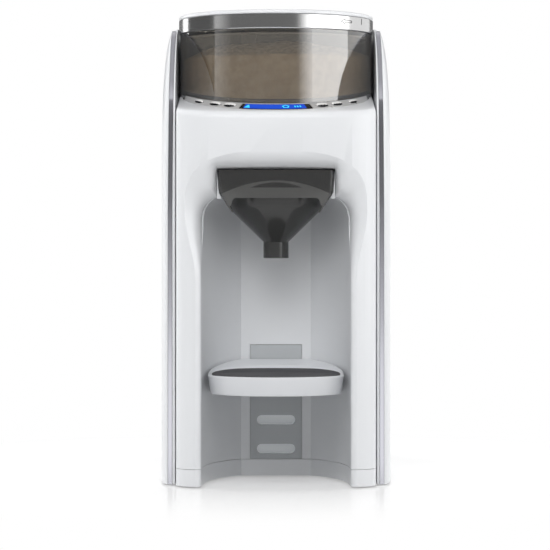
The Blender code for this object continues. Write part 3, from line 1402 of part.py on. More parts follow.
def build_funnel():
    """The funnel: spout, cone, bowl and sliding flange."""
    centre = (0.0, FUNNEL_Y)
    wall = FUNNEL_WALL
    flange_top = BOWL_TOP_Z + FLANGE_THICKNESS
    profile = [(SPOUT_RADIUS, SPOUT_BOTTOM_Z), (SPOUT_RADIUS, SPOUT_TOP_Z), (CONE_RADIUS, CONE_TOP_Z),
               (BOWL_RADIUS, CONE_TOP_Z + 3 * MM), (BOWL_RADIUS, flange_top),
               (BOWL_RADIUS - wall, flange_top), (BOWL_RADIUS - wall, CONE_TOP_Z + 3.4 * MM),
               (CONE_RADIUS - 1.6 * wall, CONE_TOP_Z), (SPOUT_RADIUS - wall, SPOUT_TOP_Z - 0.6 * MM),
               (SPOUT_RADIUS - wall, SPOUT_BOTTOM_Z)]
    funnel = turned(profile, centre, 36)
    half = FLANGE_HALF_WIDTH
    flange = box(-half, half, FUNNEL_Y - FLANGE_FRONT, FUNNEL_Y + FLANGE_REAR, BOWL_TOP_Z, flange_top)
    cut(flange, disc(BOWL_RADIUS - wall / 2, 0.0, FAR, centre, 36))
    return join(funnel, flange)


def build_funnel_cover():
    """The hood in front of the funnel: a bowed plate with two short cheeks."""
    front = front_y(0.0) + 11 * MM
    bow = 2.5 * MM
    cheek_back = FUNNEL_Y - 2 * MM

    def section(half, z, cheek=True):
        outer = [(-half, cheek_back), (-half, front + 3 * MM)]
        steps = 8
        for step in range(steps + 1):
            x = (half - 3 * MM) * (2 * step / steps - 1)
            outer.append((x, front - bow * (1 - (2 * step / steps - 1) ** 2)))
        outer += [(half, front + 3 * MM), (half, cheek_back)]
        inner = [(half - COVER_WALL, cheek_back), (half - COVER_WALL, front + 3 * MM + COVER_WALL)]
        for step in range(steps + 1):
            x = (half - 3 * MM - COVER_WALL) * (1 - 2 * step / steps)
            inner.append((x, front + COVER_WALL - bow * (1 - (2 * step / steps - 1) ** 2)))
        inner += [(-half + COVER_WALL, front + 3 * MM + COVER_WALL), (-half + COVER_WALL, cheek_back)]
        return [(x, y, z) for x, y in outer + inner]

    cover = loft([section(COVER_BOTTOM_HALF, COVER_BOTTOM_Z), section(COVER_SIDE_HALF, COVER_CORNER_Z),
                  section(COVER_TOP_HALF, COVER_TOP_Z)])
    cut(cover, box(-FAR, FAR, FUNNEL_Y - FLANGE_FRONT - GAP, FAR, 0.0, BOWL_TOP_Z + FLANGE_THICKNESS + GAP))
    return cover


def tray_outline(inset=0.0):
    """Plan of the tray: a rounded front, then sides that follow the recess."""
    corner_y = TRAY_FRONT_Y + TRAY_NOSE_DEPTH
    points = []
    steps = 18
    for step in range(steps + 1):
        angle = math.pi * (1 + step / steps)
        x = (TRAY_HALF_WIDTH - inset) * math.cos(angle)
        y = corner_y + (TRAY_NOSE_DEPTH - inset) * math.sin(angle)
        points.append((x, y))
    back = BAY_BACK_Y - TRAY_BACK_GAP - inset
    right = []
    side_steps = 6
    for step in range(1, side_steps + 1):
        y = corner_y + (back - corner_y) * step / side_steps
        x = min(TRAY_HALF_WIDTH, bay_half_at(y) - TRAY_BAY_GAP) - inset
        right.append((x, y))
    points += right
    points += [(-x, y) for x, y in reversed(right)]
    return points


def tray_rise(y):
    """How far the tray's border rises towards the back."""
    corner_y = TRAY_FRONT_Y + TRAY_NOSE_DEPTH
    back = BAY_BACK_Y - TRAY_BACK_GAP
    share = min(max((y - corner_y) / (back - corner_y), 0.0), 1.0)
    return TRAY_RISE * share


def pad_outline(inset=0.0):
    """Plan of the pad: an oval that follows the tray's front."""
    corner_y = TRAY_FRONT_Y + TRAY_NOSE_DEPTH
    half = TRAY_HALF_WIDTH - PAD_MARGIN - inset
    front = TRAY_NOSE_DEPTH - PAD_MARGIN - inset
    points = []
    steps = 32
    for step in range(steps):
        angle = math.pi * (1 + 2 * step / steps)
        reach = front if math.sin(angle) < 0 else PAD_BACK - inset
        points.append((half * math.cos(angle), corner_y + reach * math.sin(angle)))
    return points


def build_bottle_tray():
    """The tray, with a rising border at the back and a tongue for the slot."""
    bottom = TRAY_TOP_Z - TRAY_HEIGHT
    outer = tray_outline()
    shrunk = tray_outline(0.7 * MM)
    foot = bottom + TRAY_FOOT_EASE
    rings = [[(x, y, bottom) for x, y in tray_outline(TRAY_DRAFT + 0.8 * MM)],
             [(x, y, foot) for x, y in tray_outline(TRAY_DRAFT)],
             [(x, y, TRAY_TOP_Z - 0.7 * MM + tray_rise(y)) for x, y in outer],
             [(x, y, TRAY_TOP_Z + tray_rise(y)) for x, y in shrunk]]
    tray = loft(rings, bent=True)
    hollow = tray_outline(TRAY_DRAFT + TRAY_SKIN)
    cut(tray, prism(hollow, bottom - 5 * MM, TRAY_TOP_Z - PAD_THICKNESS - TRAY_SKIN))
    scoop = [[(x, y, TRAY_TOP_Z + lift) for x, y in pad_outline(-spread)]
             for lift, spread in ((0.0, 0.4 * MM), (4 * MM, 6 * MM), (30 * MM, 30 * MM))]
    cut(tray, loft(scoop))
    cut(tray, prism(pad_outline(-GAP), TRAY_TOP_Z - PAD_THICKNESS, TRAY_TOP_Z + 5 * MM))
    slot_z = slot_heights()[-1]
    reach = BAY_BACK_Y + TONGUE_REACH
    width = SLOT_WIDTH - 2 * TONGUE_CLEARANCE
    height = SLOT_HEIGHT - 2 * TONGUE_CLEARANCE
    root_y = BAY_BACK_Y - 16 * MM
    tongue = loft([slot_outline(width, height, slot_z, root_y), slot_outline(width, height, slot_z, reach)])
    web = box(1.5 * MM - width / 2, width / 2 - 1.5 * MM, root_y, BAY_BACK_Y - TRAY_BACK_GAP - 1 * MM,
              slot_z - 1 * MM, TRAY_TOP_Z - 2 * MM)
    return join(tray, tongue, web)


def build_tray_pad():
    """The dark pad that lies in the tray."""
    return prism(pad_outline(), TRAY_TOP_Z - PAD_THICKNESS + GAP, TRAY_TOP_Z + PAD_PROUD)


def build_chassis():
    """The frame: an upright plate with a foot and a shelf."""
    back = FRAME_Y + FRAME_THICKNESS
    plate = box(-FRAME_HALF_WIDTH, FRAME_HALF_WIDTH, FRAME_Y, back, FRAME_FOOT_Z, FRAME_TOP_Z)
    foot = box(-FRAME_HALF_WIDTH, FRAME_HALF_WIDTH, FRAME_Y + 1 * MM, back + FRAME_FOOT_DEPTH, FRAME_FOOT_Z,
               FRAME_FOOT_Z + FRAME_THICKNESS)
    shelf_front = BAY_BACK_Y + WALL + 2 * MM
    shelf = box(-SHELF_HALF_WIDTH, SHELF_HALF_WIDTH, shelf_front, FRAME_Y + 1 * MM,
                FRAME_TOP_Z - FRAME_THICKNESS, FRAME_TOP_Z)
    join(plate, foot, shelf)
    cut(plate, disc(MOTOR_SHAFT_RADIUS + 1 * MM, 0.0, FAR, pinion_centre(), 20))
    for x, y in screw_places():
        cut(plate, disc(SCREW_RADIUS + GAP, -5 * MM, 20 * MM, (x, y), 16))
    return plate


def heater_ports():
    """Lower and upper ports of the heater."""
    y = FRAME_Y + FRAME_THICKNESS + GAP + HEATER_DEPTH / 2
    return (Vector((HEATER_X, y, HEATER_BOTTOM_Z - 6 * MM)),
            Vector((HEATER_X, y, HEATER_BOTTOM_Z + HEATER_HEIGHT + 6 * MM)))


def build_water_heater():
    """The cast heating block with its two ports."""
    low, high = heater_ports()
    half = HEATER_WIDTH / 2
    front = FRAME_Y + FRAME_THICKNESS + GAP
    outline = rounded_rectangle(half, front, front + HEATER_DEPTH, 4 * MM, 4 * MM, 4)
    outline = [(x + HEATER_X, y) for x, y in outline]
    block = prism(outline, HEATER_BOTTOM_Z, HEATER_BOTTOM_Z + HEATER_HEIGHT)
    fins = 6
    for index in range(fins):
        z = HEATER_BOTTOM_Z + HEATER_HEIGHT * (index + 1) / (fins + 1)
        cut(block, box(HEATER_X - FAR, HEATER_X + FAR, front + HEATER_DEPTH - 4 * MM, FAR, z - 2 * MM,
                       z + 2 * MM))
    join(block, disc(HOSE_RADIUS, low.z, high.z, (HEATER_X, low.y), 16))
    return block


def pump_centre():
    """Axis of the pump, on the frame's foot."""
    return (HEATER_X, FRAME_Y + FRAME_THICKNESS + 21 * MM)


def build_water_pump():
    """The pump: a motor can with its head and two ports."""
    x, y = pump_centre()
    bottom = FRAME_FOOT_Z + FRAME_THICKNESS + GAP
    top = bottom + PUMP_HEIGHT
    radius = PUMP_RADIUS
    profile = [(0.0, bottom), (radius, bottom), (radius, bottom + 16 * MM),
               (radius - 3 * MM, bottom + 18 * MM), (radius - 3 * MM, top - 2 * MM), (radius - 5 * MM, top),
               (HOSE_RADIUS, top), (HOSE_RADIUS, top + 6 * MM), (0.0, top + 6 * MM)]
    pump = turned(profile, (x, y), 28)
    port = tube([Vector((x, y, inlet_z())), Vector((pump_port_x(), y, inlet_z()))], HOSE_RADIUS, sides=12)
    return join(pump, port)


def inlet_z():
    """Height of the hose from the tank to the pump."""
    return FRAME_FOOT_Z + FRAME_THICKNESS + 10 * MM


def pump_port_x():
    """End of the pump's inlet port."""
    return pump_centre()[0] + PUMP_RADIUS + 5 * MM


def valve_y():
    """Axis of the tank's valve."""
    return TANK_FRONT_Y + VALVE_SETBACK


def build_hoses():
    """The three hoses: tank to pump, pump to heater, heater to nozzle."""
    x, y = pump_centre()
    low, high = heater_ports()
    nozzle_y = NOSE_Y + NOZZLE_SETBACK
    dock_port = valve_y() - TANK_SPIGOT_RADIUS - GAP - WALL - 3.2 * MM
    start = dock_port - GAP
    end = pump_port_x() + GAP
    side = end + 12 * MM
    inlet = smooth_path([(0.0, start, inlet_z()), (0.0, start - 8 * MM, inlet_z()),
                         (side, (start + y) / 2, inlet_z()), (side - 2 * MM, y + 3 * MM, inlet_z()),
                         (end + 5 * MM, y, inlet_z()), (end, y, inlet_z())], 3)
    pump_top = FRAME_FOOT_Z + FRAME_THICKNESS + GAP + PUMP_HEIGHT + 6 * MM + GAP
    feed = smooth_path([(x, y, pump_top), (x, y, pump_top + 8 * MM), (x, low.y, low.z - 8 * MM),
                        (x, low.y, low.z - GAP)], 6)
    over = FRAME_TOP_Z + 14.5 * MM
    hot = smooth_path([(x, high.y, high.z + GAP), (x, high.y, high.z + 8 * MM),
                       (x - 14 * MM, FRAME_Y + 8 * MM, over - 8 * MM), (x - 16 * MM, AXIS_Y + 26 * MM, over),
                       (x - 12 * MM, AXIS_Y, over), (x + 2 * MM, nozzle_y + 10 * MM, over),
                       (NOZZLE_X, nozzle_y, over - 6 * MM), (NOZZLE_X, nozzle_y, nozzle_top() + GAP)], 2)
    return [tube(path, HOSE_RADIUS, HOSE_BORE) for path in (inlet, feed, hot)]


def nozzle_top():
    """Top of the water nozzle."""
    return POCKET_TOP_Z + WALL + 9 * MM


def build_water_nozzle():
    """The outlet that sprays hot water into the funnel."""
    bottom = POCKET_TOP_Z - 6 * MM
    collar = POCKET_TOP_Z + WALL + GAP
    bore = NOZZLE_RADIUS - 1.5 * MM
    profile = [(NOZZLE_RADIUS, bottom), (NOZZLE_RADIUS, collar), (NOZZLE_RADIUS + 3 * MM, collar),
               (NOZZLE_RADIUS + 3 * MM, collar + 2 * MM), (HOSE_RADIUS, collar + 2 * MM),
               (HOSE_RADIUS, nozzle_top()), (bore, nozzle_top()), (bore, bottom)]
    return turned(profile, (NOZZLE_X, NOSE_Y + NOZZLE_SETBACK), 20)


def build_main_board():
    """The main circuit board on its standoffs, with its larger components."""
    face = FRAME_Y + FRAME_THICKNESS + GAP
    front = face + BOARD_STANDOFF
    back = front + BOARD_THICKNESS
    top = FRAME_TOP_Z - BOARD_DROP
    bottom = top - BOARD_HEIGHT
    right = BOARD_LEFT + BOARD_WIDTH
    board = box(BOARD_LEFT, right, front, back, bottom, top)
    for x in (BOARD_LEFT + BOARD_PEG_INSET, right - BOARD_PEG_INSET):
        for z in (bottom + BOARD_PEG_INSET, top - BOARD_PEG_INSET):
            ends = [Vector((x, face, z)), Vector((x, front + BOARD_THICKNESS / 3, z))]
            join(board, tube(ends, BOARD_PEG_RADIUS, sides=10))
    for low_x, high_x, low_z, high_z, height in BOARD_PARTS:
        join(board, box(BOARD_LEFT + low_x * MM, BOARD_LEFT + high_x * MM, back - BOARD_THICKNESS / 3,
                        back + height * MM, bottom + low_z * MM, bottom + high_z * MM))
    return board


def tank_outline(inset=0.0):
    """Plan of the tank and of the dock under it."""
    return rounded_rectangle(TANK_HALF_WIDTH - inset, TANK_FRONT_Y + inset, TANK_REAR_Y - inset,
                             TANK_FRONT_CORNER - inset, TANK_REAR_CORNER - inset, 8)


def build_water_tank():
    """The clear tank, open at the top, with a spigot and a cage for its valve."""
    valve = (0.0, valve_y())
    tank = prism(tank_outline(), TANK_BOTTOM_Z, TANK_TOP_Z)
    floor_top = TANK_BOTTOM_Z + TANK_WALL
    cut(tank, prism(tank_outline(TANK_WALL), floor_top, TANK_TOP_Z + 10 * MM))
    spigot_bottom = TANK_BOTTOM_Z - TANK_SPIGOT_DROP
    join(tank, disc(TANK_SPIGOT_RADIUS, spigot_bottom, TANK_BOTTOM_Z + 1 * MM, valve, 32))
    cut(tank, disc(SPIGOT_HOLE_RADIUS, spigot_bottom - 5 * MM, floor_top + 5 * MM, valve, 24))
    cage_top = spring_top() + GAP
    post = VALVE_HEAD_RADIUS + 3.5 * MM
    for side in (-1, 1):
        low = min(side * post, side * (post - 2 * MM))
        join(tank, box(low, low + 2 * MM, valve[1] - 3 * MM, valve[1] + 3 * MM, floor_top - 1 * MM,
                       cage_top + 1 * MM))
    join(tank, box(-post, post, valve[1] - 3 * MM, valve[1] + 3 * MM, cage_top, cage_top + 2 * MM))
    hinge_y, hinge_z = lid_hinge()
    for low in (-HINGE_EAR_X - HINGE_EAR_WIDTH, HINGE_EAR_X):
        outline = arc_points((hinge_y, hinge_z), HINGE_RADIUS, 0, 180, 8)
        outline += [(TANK_FRONT_Y, hinge_z), (TANK_FRONT_Y, TANK_TOP_Z - 12 * MM),
                    (TANK_FRONT_Y + TANK_WALL, TANK_TOP_Z - 12 * MM),
                    (hinge_y + HINGE_RADIUS, TANK_TOP_Z - 5 * MM)]
        ear = loft([[(x, y, z) for y, z in outline] for x in (low, low + HINGE_EAR_WIDTH)])
        join(tank, ear)
    return cut(tank, hinge_rod(HINGE_PIN_RADIUS + 0.1 * MM, HINGE_HALF_LENGTH + 5 * MM))


def lid_hinge():
    """Axis of the tank lid's hinge, as (y, z)."""
    return (TANK_FRONT_Y + 0.2 * MM + HINGE_RADIUS, TANK_TOP_Z + 4 * MM)


def hinge_rod(radius, half_length):
    """A rod along the tank lid's hinge axis."""
    y, z = lid_hinge()
    return tube([Vector((-half_length, y, z)), Vector((half_length, y, z))], radius, sides=12)


def valve_head_bottom():
    """Underside of the valve's head while the tank is docked and the valve is held open."""
    return TANK_BOTTOM_Z + TANK_WALL + VALVE_TRAVEL + 0.1 * MM


def spring_top():
    """Upper end of the valve's spring."""
    return valve_head_bottom() + 2 * MM + GAP + 13 * MM


def build_tank_valve():
    """The valve: a head above the tank's floor and a stem down to the dock's pin."""
    bottom = TANK_BOTTOM_Z - TANK_SPIGOT_DROP - 1 * MM
    head = valve_head_bottom()
    profile = [(0.0, bottom), (VALVE_STEM_RADIUS - 0.5 * MM, bottom), (VALVE_STEM_RADIUS, bottom + 0.5 * MM),
               (VALVE_STEM_RADIUS, head), (VALVE_HEAD_RADIUS, head), (VALVE_HEAD_RADIUS, head + 2 * MM),
               (0.0, head + 2 * MM)]
    return turned(profile, (0.0, valve_y()), 24)


def build_valve_spring():
    """The spring that pushes the valve down on its seat."""
    bottom = valve_head_bottom() + 2 * MM + GAP + SPRING_WIRE
    top = spring_top() - SPRING_WIRE
    points_per_turn = 8
    count = SPRING_TURNS * points_per_turn
    points = []
    for index in range(count + 1):
        angle = 2 * math.pi * index / points_per_turn
        x = SPRING_RADIUS * math.cos(angle)
        y = valve_y() + SPRING_RADIUS * math.sin(angle)
        points.append(Vector((x, y, bottom + (top - bottom) * index / count)))
    gaps = []
    for index, point in enumerate(points):
        for other in points[index + points_per_turn // 2:]:
            gaps.append((other - point).length - 2 * SPRING_WIRE)
    print(f"least gap between the spring's turns: {min(gaps) / MM:.2f} mm")
    return tube(points, SPRING_WIRE, sides=5)


def build_tank_hinge_pin():
    """The rod that the tank's lid turns on."""
    return hinge_rod(HINGE_PIN_RADIUS, HINGE_HALF_LENGTH)


def build_tank_lid():
    """The flap that closes the tank, with a finger tab at the back."""
    bottom = TANK_TOP_Z + GAP
    top = bottom + TANK_LID_HEIGHT
    lid = loft([[(x, y, bottom) for x, y in tank_outline(0.2 * MM)],
                [(x, y, top - 1.5 * MM) for x, y in tank_outline(0.2 * MM)],
                [(x, y, top) for x, y in tank_outline(1.7 * MM)]])
    hinge_y, hinge_z = lid_hinge()
    inset = TANK_WALL + 1 * MM
    inner = rounded_rectangle(TANK_HALF_WIDTH - inset, hinge_y + HINGE_RADIUS + 1 * MM, TANK_REAR_Y - inset,
                              TANK_FRONT_CORNER - inset, TANK_REAR_CORNER - inset, 8)
    cut(lid, prism(inner, bottom - 5 * MM, top - 2.2 * MM))
    corner = arc_points((hinge_y, hinge_z), HINGE_RADIUS, 180, 270, 6)
    corner += [(hinge_y, bottom - 5 * MM), (hinge_y - 9 * MM, bottom - 5 * MM), (hinge_y - 9 * MM, hinge_z)]
    cut(lid, loft([[(x, y, z) for y, z in corner] for x in (-FAR, FAR)]))
    for low in (-HINGE_EAR_X - HINGE_EAR_WIDTH - GAP, HINGE_EAR_X - GAP):
        cut(lid, box(low, low + HINGE_EAR_WIDTH + 2 * GAP, TANK_FRONT_Y - 5 * MM,
                     hinge_y + HINGE_RADIUS + GAP, bottom - 5 * MM, top + 5 * MM))
    cut(lid, hinge_rod(HINGE_PIN_RADIUS + 0.1 * MM, HINGE_HALF_LENGTH + 5 * MM))
    grip = rounded_rectangle(14 * MM, TANK_REAR_Y - 16 * MM, TANK_REAR_Y - 6 * MM, 4 * MM, 4 * MM, 4)
    cut(lid, prism(grip, top - 1.2 * MM, top + 5 * MM))
    return lid


def build_tank_dock():
    """The platform under the tank, with the cup that takes its spigot."""
    bottom = BASE_SEAM_Z + GAP
    valve = (0.0, valve_y())
    dock = prism(tank_outline(), bottom, DOCK_TOP_Z)
    cut(dock, prism(tank_outline(WALL), bottom - 5 * MM, DOCK_TOP_Z - WALL))
    cup_radius = TANK_SPIGOT_RADIUS + GAP
    cup_floor = TANK_BOTTOM_Z - TANK_SPIGOT_DROP - 4.5 * MM
    join(dock, disc(cup_radius + WALL, cup_floor - WALL, DOCK_TOP_Z - 1 * MM, valve, 32))
    cut(dock, disc(cup_radius, cup_floor, DOCK_TOP_Z + 5 * MM, valve, 32))
    pin_top = TANK_BOTTOM_Z - TANK_SPIGOT_DROP - 1 * MM - GAP
    join(dock, disc(2.2 * MM, cup_floor - 1 * MM, pin_top, valve, 16))
    port_end = valve_y() - cup_radius - WALL - 3 * MM
    port = tube([Vector((0.0, valve_y() - cup_radius - 1 * MM, inlet_z())),
                 Vector((0.0, port_end, inlet_z()))], HOSE_RADIUS, sides=16)
    join(dock, port)
    cut(dock, tube([Vector((0.0, valve_y() - cup_radius + 3 * MM, inlet_z() + 0.8 * MM)),
                    Vector((0.0, port_end - 3 * MM, inlet_z() + 0.8 * MM))], HOSE_BORE, sides=12))
    hole = DOCK_TOP_Z - WALL - GAP
    cut(dock, box(-11 * MM, 11 * MM, TANK_FRONT_Y - 5 * MM, TANK_FRONT_Y + WALL + 0.5 * MM, 0.0, hole))
    cut(dock, box(INLET_X - INLET_HALF - GAP, INLET_X + INLET_HALF + GAP, TANK_REAR_Y - 8 * MM,
                  TANK_REAR_Y + 5 * MM, INLET_LOW - GAP, INLET_HIGH + GAP))
    return dock


def build_power_inlet():
    """The socket for a mains lead, with its two pins."""
    middle = (INLET_LOW + INLET_HIGH) / 2
    rear = TANK_REAR_Y - 0.4 * MM
    socket = box(INLET_X - INLET_HALF, INLET_X + INLET_HALF, rear - INLET_DEPTH, rear, INLET_LOW, INLET_HIGH)
    well = box(INLET_X - 7.5 * MM, INLET_X + 7.5 * MM, rear - INLET_DEPTH + 2 * MM, rear + 5 * MM,
               middle - 3.8 * MM, middle + 3.8 * MM)
    cut(socket, well)
    for side in (-1, 1):
        x = INLET_X + side * PIN_OFFSET
        pin = tube([Vector((x, rear - INLET_DEPTH + 1 * MM, middle)), Vector((x, rear - 2 * MM, middle))],
                   PIN_RADIUS, sides=10)
        join(socket, pin)
    return socket


def build_dock_seal():
    """The ring that seals the tank's spigot in the dock."""
    floor = TANK_BOTTOM_Z - TANK_SPIGOT_DROP - 4.5 * MM
    top = TANK_BOTTOM_Z - TANK_SPIGOT_DROP - GAP
    bottom = floor + GAP
    outer = TANK_SPIGOT_RADIUS
    profile = [(outer, bottom), (outer, top), (outer - 1.5 * MM, top), (outer - 3 * MM, bottom + 1 * MM),
               (outer - 3 * MM, bottom)]
    return turned(profile, (0.0, valve_y()), 32)


def build_shells(white, pale, steel):
    """Covers, skins and what the machine stands on."""
    place(build_base_pan(), "base_pan", white)
    corners = ("front_right", "front_left", "rear_right", "rear_left")
    for corner, (x, y) in zip(corners, foot_places()):
        place(build_foot(x, y), "foot_" + corner, MATERIALS["rubber"], (x, y, 0.0))
    for corner, (x, y) in zip(corners, screw_places()):
        place(build_base_screw(x, y), "base_screw_" + corner, steel, (x, y, BASE_CLEARANCE))
    place(build_front_housing(), "front_housing", white)
    place(build_slot_panel(), "slot_panel", pale)
    place(build_rear_cover(), "rear_cover", white)
    place(build_top_cover(), "top_cover", white)
    panel = build_side_panel()
    place(mirrored(panel), "side_panel_left", white)
    place(panel, "side_panel_right", white)
    strip = build_side_trim()
    place(mirrored(strip), "side_trim_left", MATERIALS["chrome"])
    place(strip, "side_trim_right", MATERIALS["chrome"])


def build_controls():
    """The control band with its window, buttons and board."""
    place(build_control_panel(), "control_panel", MATERIALS["silver"])
    place(build_lcd_window(), "lcd_window", MATERIALS["display"])
    names = ("left_outer", "left_middle", "left_inner", "right_inner", "right_middle", "right_outer")
    for name, angle in zip(names, button_angles()):
        centre = band_frame(angle)[0]
        place(build_button(angle), "button_" + name, MATERIALS["silver"], centre)
    place(build_display_board(), "display_board", MATERIALS["board"])


def build_powder_system():
    """Container, lid, wheel, stirrer and drive."""
    axis = (0.0, AXIS_Y, SPIGOT_BOTTOM_Z)
    place(build_container_seat(), "container_seat", MATERIALS["pale"], axis)
    place(build_powder_container(), "powder_container", MATERIALS["smoke_clear"], axis)
    place(build_lid_seal(), "lid_seal", MATERIALS["rubber"], (0.0, AXIS_Y, CONTAINER_TOP_Z))
    place(build_lid_cap(), "lid_cap", MATERIALS["white"], (0.0, AXIS_Y, LID_CAP_BOTTOM_Z))
    place(build_lid_band(), "lid_band", MATERIALS["silver"], (0.0, AXIS_Y, LID_BAND_BOTTOM_Z))
    place(build_dosing_wheel(), "dosing_wheel", MATERIALS["pale"], axis)
    place(build_wheel_cover(), "wheel_cover", MATERIALS["pale"], axis)
    place(build_stirrer(), "stirrer", MATERIALS["pale"], axis)
    place(build_drive_shaft(), "drive_shaft", MATERIALS["steel"], axis)
    place(build_drive_gear(), "drive_gear", MATERIALS["pale"], (0.0, AXIS_Y, GEAR_BOTTOM_Z))
    place(build_motor_pinion(), "motor_pinion", MATERIALS["brass"], (*pinion_centre(), GEAR_BOTTOM_Z))
    place(build_powder_motor(), "powder_motor", MATERIALS["steel"], (*pinion_centre(), GEAR_BOTTOM_Z))
    place(build_powder_chute(), "powder_chute", MATERIALS["pale"])


def build_mixing_parts():
    """Funnel, tray and the parts that carry them."""
    place(build_funnel_guide(), "funnel_guide", MATERIALS["pale"])
    place(build_funnel(), "funnel", MATERIALS["smoke_dark"], (0.0, FUNNEL_Y, BOWL_TOP_Z))
    place(build_funnel_cover(), "funnel_cover", MATERIALS["smoke_dark"], (0.0, FUNNEL_Y, BOWL_TOP_Z))
    tray_origin = (0.0, BAY_BACK_Y, TRAY_TOP_Z)
    place(build_bottle_tray(), "bottle_tray", MATERIALS["white"], tray_origin)
    place(build_tray_pad(), "tray_pad", MATERIALS["rubber"], tray_origin)


def build_water_system():
    """Frame, pump, heater, hoses, boards, tank and dock."""
    place(build_chassis(), "chassis", MATERIALS["steel"])
    place(build_water_heater(), "water_heater", MATERIALS["aluminium"])
    place(build_water_pump(), "water_pump", MATERIALS["black"])
    for name, hose in zip(("inlet_hose", "feed_hose", "hot_hose"), build_hoses()):
        place(hose, name, MATERIALS["hose"])
    place(build_water_nozzle(), "water_nozzle", MATERIALS["pale"])
    place(build_main_board(), "main_board", MATERIALS["board"])
    valve = (0.0, valve_y(), TANK_BOTTOM_Z)
    place(build_tank_dock(), "tank_dock", MATERIALS["white"])
    place(build_dock_seal(), "dock_seal", MATERIALS["rubber"], valve)
    place(build_water_tank(), "water_tank", MATERIALS["smoke_clear"], valve)
    place(build_tank_valve(), "tank_valve", MATERIALS["pale"], valve)
    place(build_valve_spring(), "valve_spring", MATERIALS["steel"], valve)
    place(build_tank_hinge_pin(), "tank_hinge_pin", MATERIALS["steel"], (0.0, *lid_hinge()))
    place(build_tank_lid(), "tank_lid", MATERIALS["white"], (0.0, *lid_hinge()))
    place(build_power_inlet(), "power_inlet", MATERIALS["black"])


clear_scene()
MATERIALS = {
    "white": make_material("gloss_white", (0.86, 0.87, 0.88), 0.18),
    "pale": make_material("moulded_grey", (0.62, 0.64, 0.65), 0.4),
    "silver": make_material("silver_satin", (0.5, 0.51, 0.52), 0.3, 0.9),
    "chrome": make_material("trim_chrome", (0.7, 0.7, 0.74), 0.12, 1.0),
    "steel": make_material("zinc_steel", (0.55, 0.56, 0.57), 0.35, 1.0),
    "aluminium": make_material("cast_aluminium", (0.6, 0.61, 0.62), 0.5, 1.0),
    "brass": make_material("pinion_brass", (0.75, 0.6, 0.3), 0.3, 1.0),
    "smoke_clear": make_material("smoke_clear", (0.35, 0.34, 0.33), 0.08, 0.0, 0.8),
    "smoke_dark": make_material("smoke_dark", (0.06, 0.06, 0.065), 0.12, 0.0, 0.5),
    "display": make_material("display_black", (0.01, 0.02, 0.06), 0.06),
    "rubber": make_material("dark_rubber", (0.12, 0.12, 0.13), 0.7),
    "black": make_material("black_plastic", (0.03, 0.03, 0.03), 0.45),
    "board": make_material("board_green", (0.05, 0.2, 0.1), 0.5),
    "hose": make_material("silicone_hose", (0.75, 0.76, 0.76), 0.45),
}
build_shells(MATERIALS["white"], MATERIALS["pale"], MATERIALS["steel"])
build_controls()
build_powder_system()
build_mixing_parts()
build_water_system()
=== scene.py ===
"""Looks of the countertop baby formula maker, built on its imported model.

Metres, +Z up, the front faces -Y.
"""

import math

import bmesh
import bpy
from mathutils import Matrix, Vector, noise


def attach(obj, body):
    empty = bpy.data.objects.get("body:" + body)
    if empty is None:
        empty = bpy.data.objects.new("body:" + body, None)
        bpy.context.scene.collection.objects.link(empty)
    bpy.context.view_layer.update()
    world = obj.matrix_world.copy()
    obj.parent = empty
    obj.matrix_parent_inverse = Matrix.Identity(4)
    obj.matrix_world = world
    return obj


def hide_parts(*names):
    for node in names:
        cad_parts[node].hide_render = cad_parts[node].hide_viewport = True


MM = 0.001

# Camera, fitted to the photograph
CAMERA_Y = -2034.5 * MM
CAMERA_Z = 179.0 * MM
CAMERA_LENS = 172.7
SENSOR_WIDTH = 36.0
IMAGE_SIZE = 550
SHIFT_X = -1 / IMAGE_SIZE
SHIFT_Y = -35 / IMAGE_SIZE

# Sizes of the model that the pieces below fit to
GAP = 0.3 * MM
AXIS_Y = -46.5 * MM
CONTAINER_RADIUS = 72.3 * MM
CONTAINER_WALL = 2.5 * MM
CONTAINER_FRONT_Y = AXIS_Y - CONTAINER_RADIUS
SPIGOT_INNER = 63.8 * MM
RIM_FRONT_Z = 278.2 * MM
RIM_SLOPE = 0.186
WELL_RADIUS = 73.3 * MM
BAND_RADIUS = 69.6 * MM
BAND_SHIFT = 16.1 * MM
SHELF_DROP = 3.0 * MM
LID_RADIUS = 73.0 * MM
SEAL_MIDDLE = 67.0 * MM
WINDOW_HALF_ANGLE = 18.8
WINDOW_MARGIN = 0.9 * MM
BUTTON_ANGLES = {"inner": 25.2, "middle": 34.8, "outer": 47.6}
BUTTON_LENGTH = 9.8 * MM
BUTTON_SHARE = 0.6
BUTTON_PROUD = 0.9 * MM
SLOT_FACE_Y = -41.8 * MM
POCKET_HALF = 42.8 * MM
POCKET_FLOOR_Z = 209.0 * MM
TRAY_TOP_Z = 80.8 * MM
TRAY_CORNER_Y = -112.5 * MM
TRAY_BACK_Y = -43.2 * MM
TRAY_RISE = 8.5 * MM
PAD_HALF = 46.5 * MM
PAD_FRONT = 37.0 * MM
PAD_BACK = 35.0 * MM
EDGE_BLUR = 0.35 * MM

# Display and buttons: angles in degrees from the front, lengths up or down from the band, shares across it
WINDOW_DEPTH = 1.9 * MM
SCREEN_START = -16.8
SCREEN_END = 15.6
SCREEN_LIFT = 0.08 * MM
SIGN_BOTTOM = 0.1 * MM
SIGN_TOP = 0.16 * MM
TRIANGLE = [(-16.4, 0.8), (-13.4, 0.8), (-14.9, 0.2)]
RING_MIDDLE = 5.1
RING_HALF = 2.1
RING_TALL = 0.3
RING_INNER = 0.62
BAR_STARTS = (9.6, 11.0, 12.4)
BAR_WIDTH = 0.8
BAR_INNER = 0.4
BAR_OUTER = 0.66
BUTTON_SKIRT = 2.4 * MM

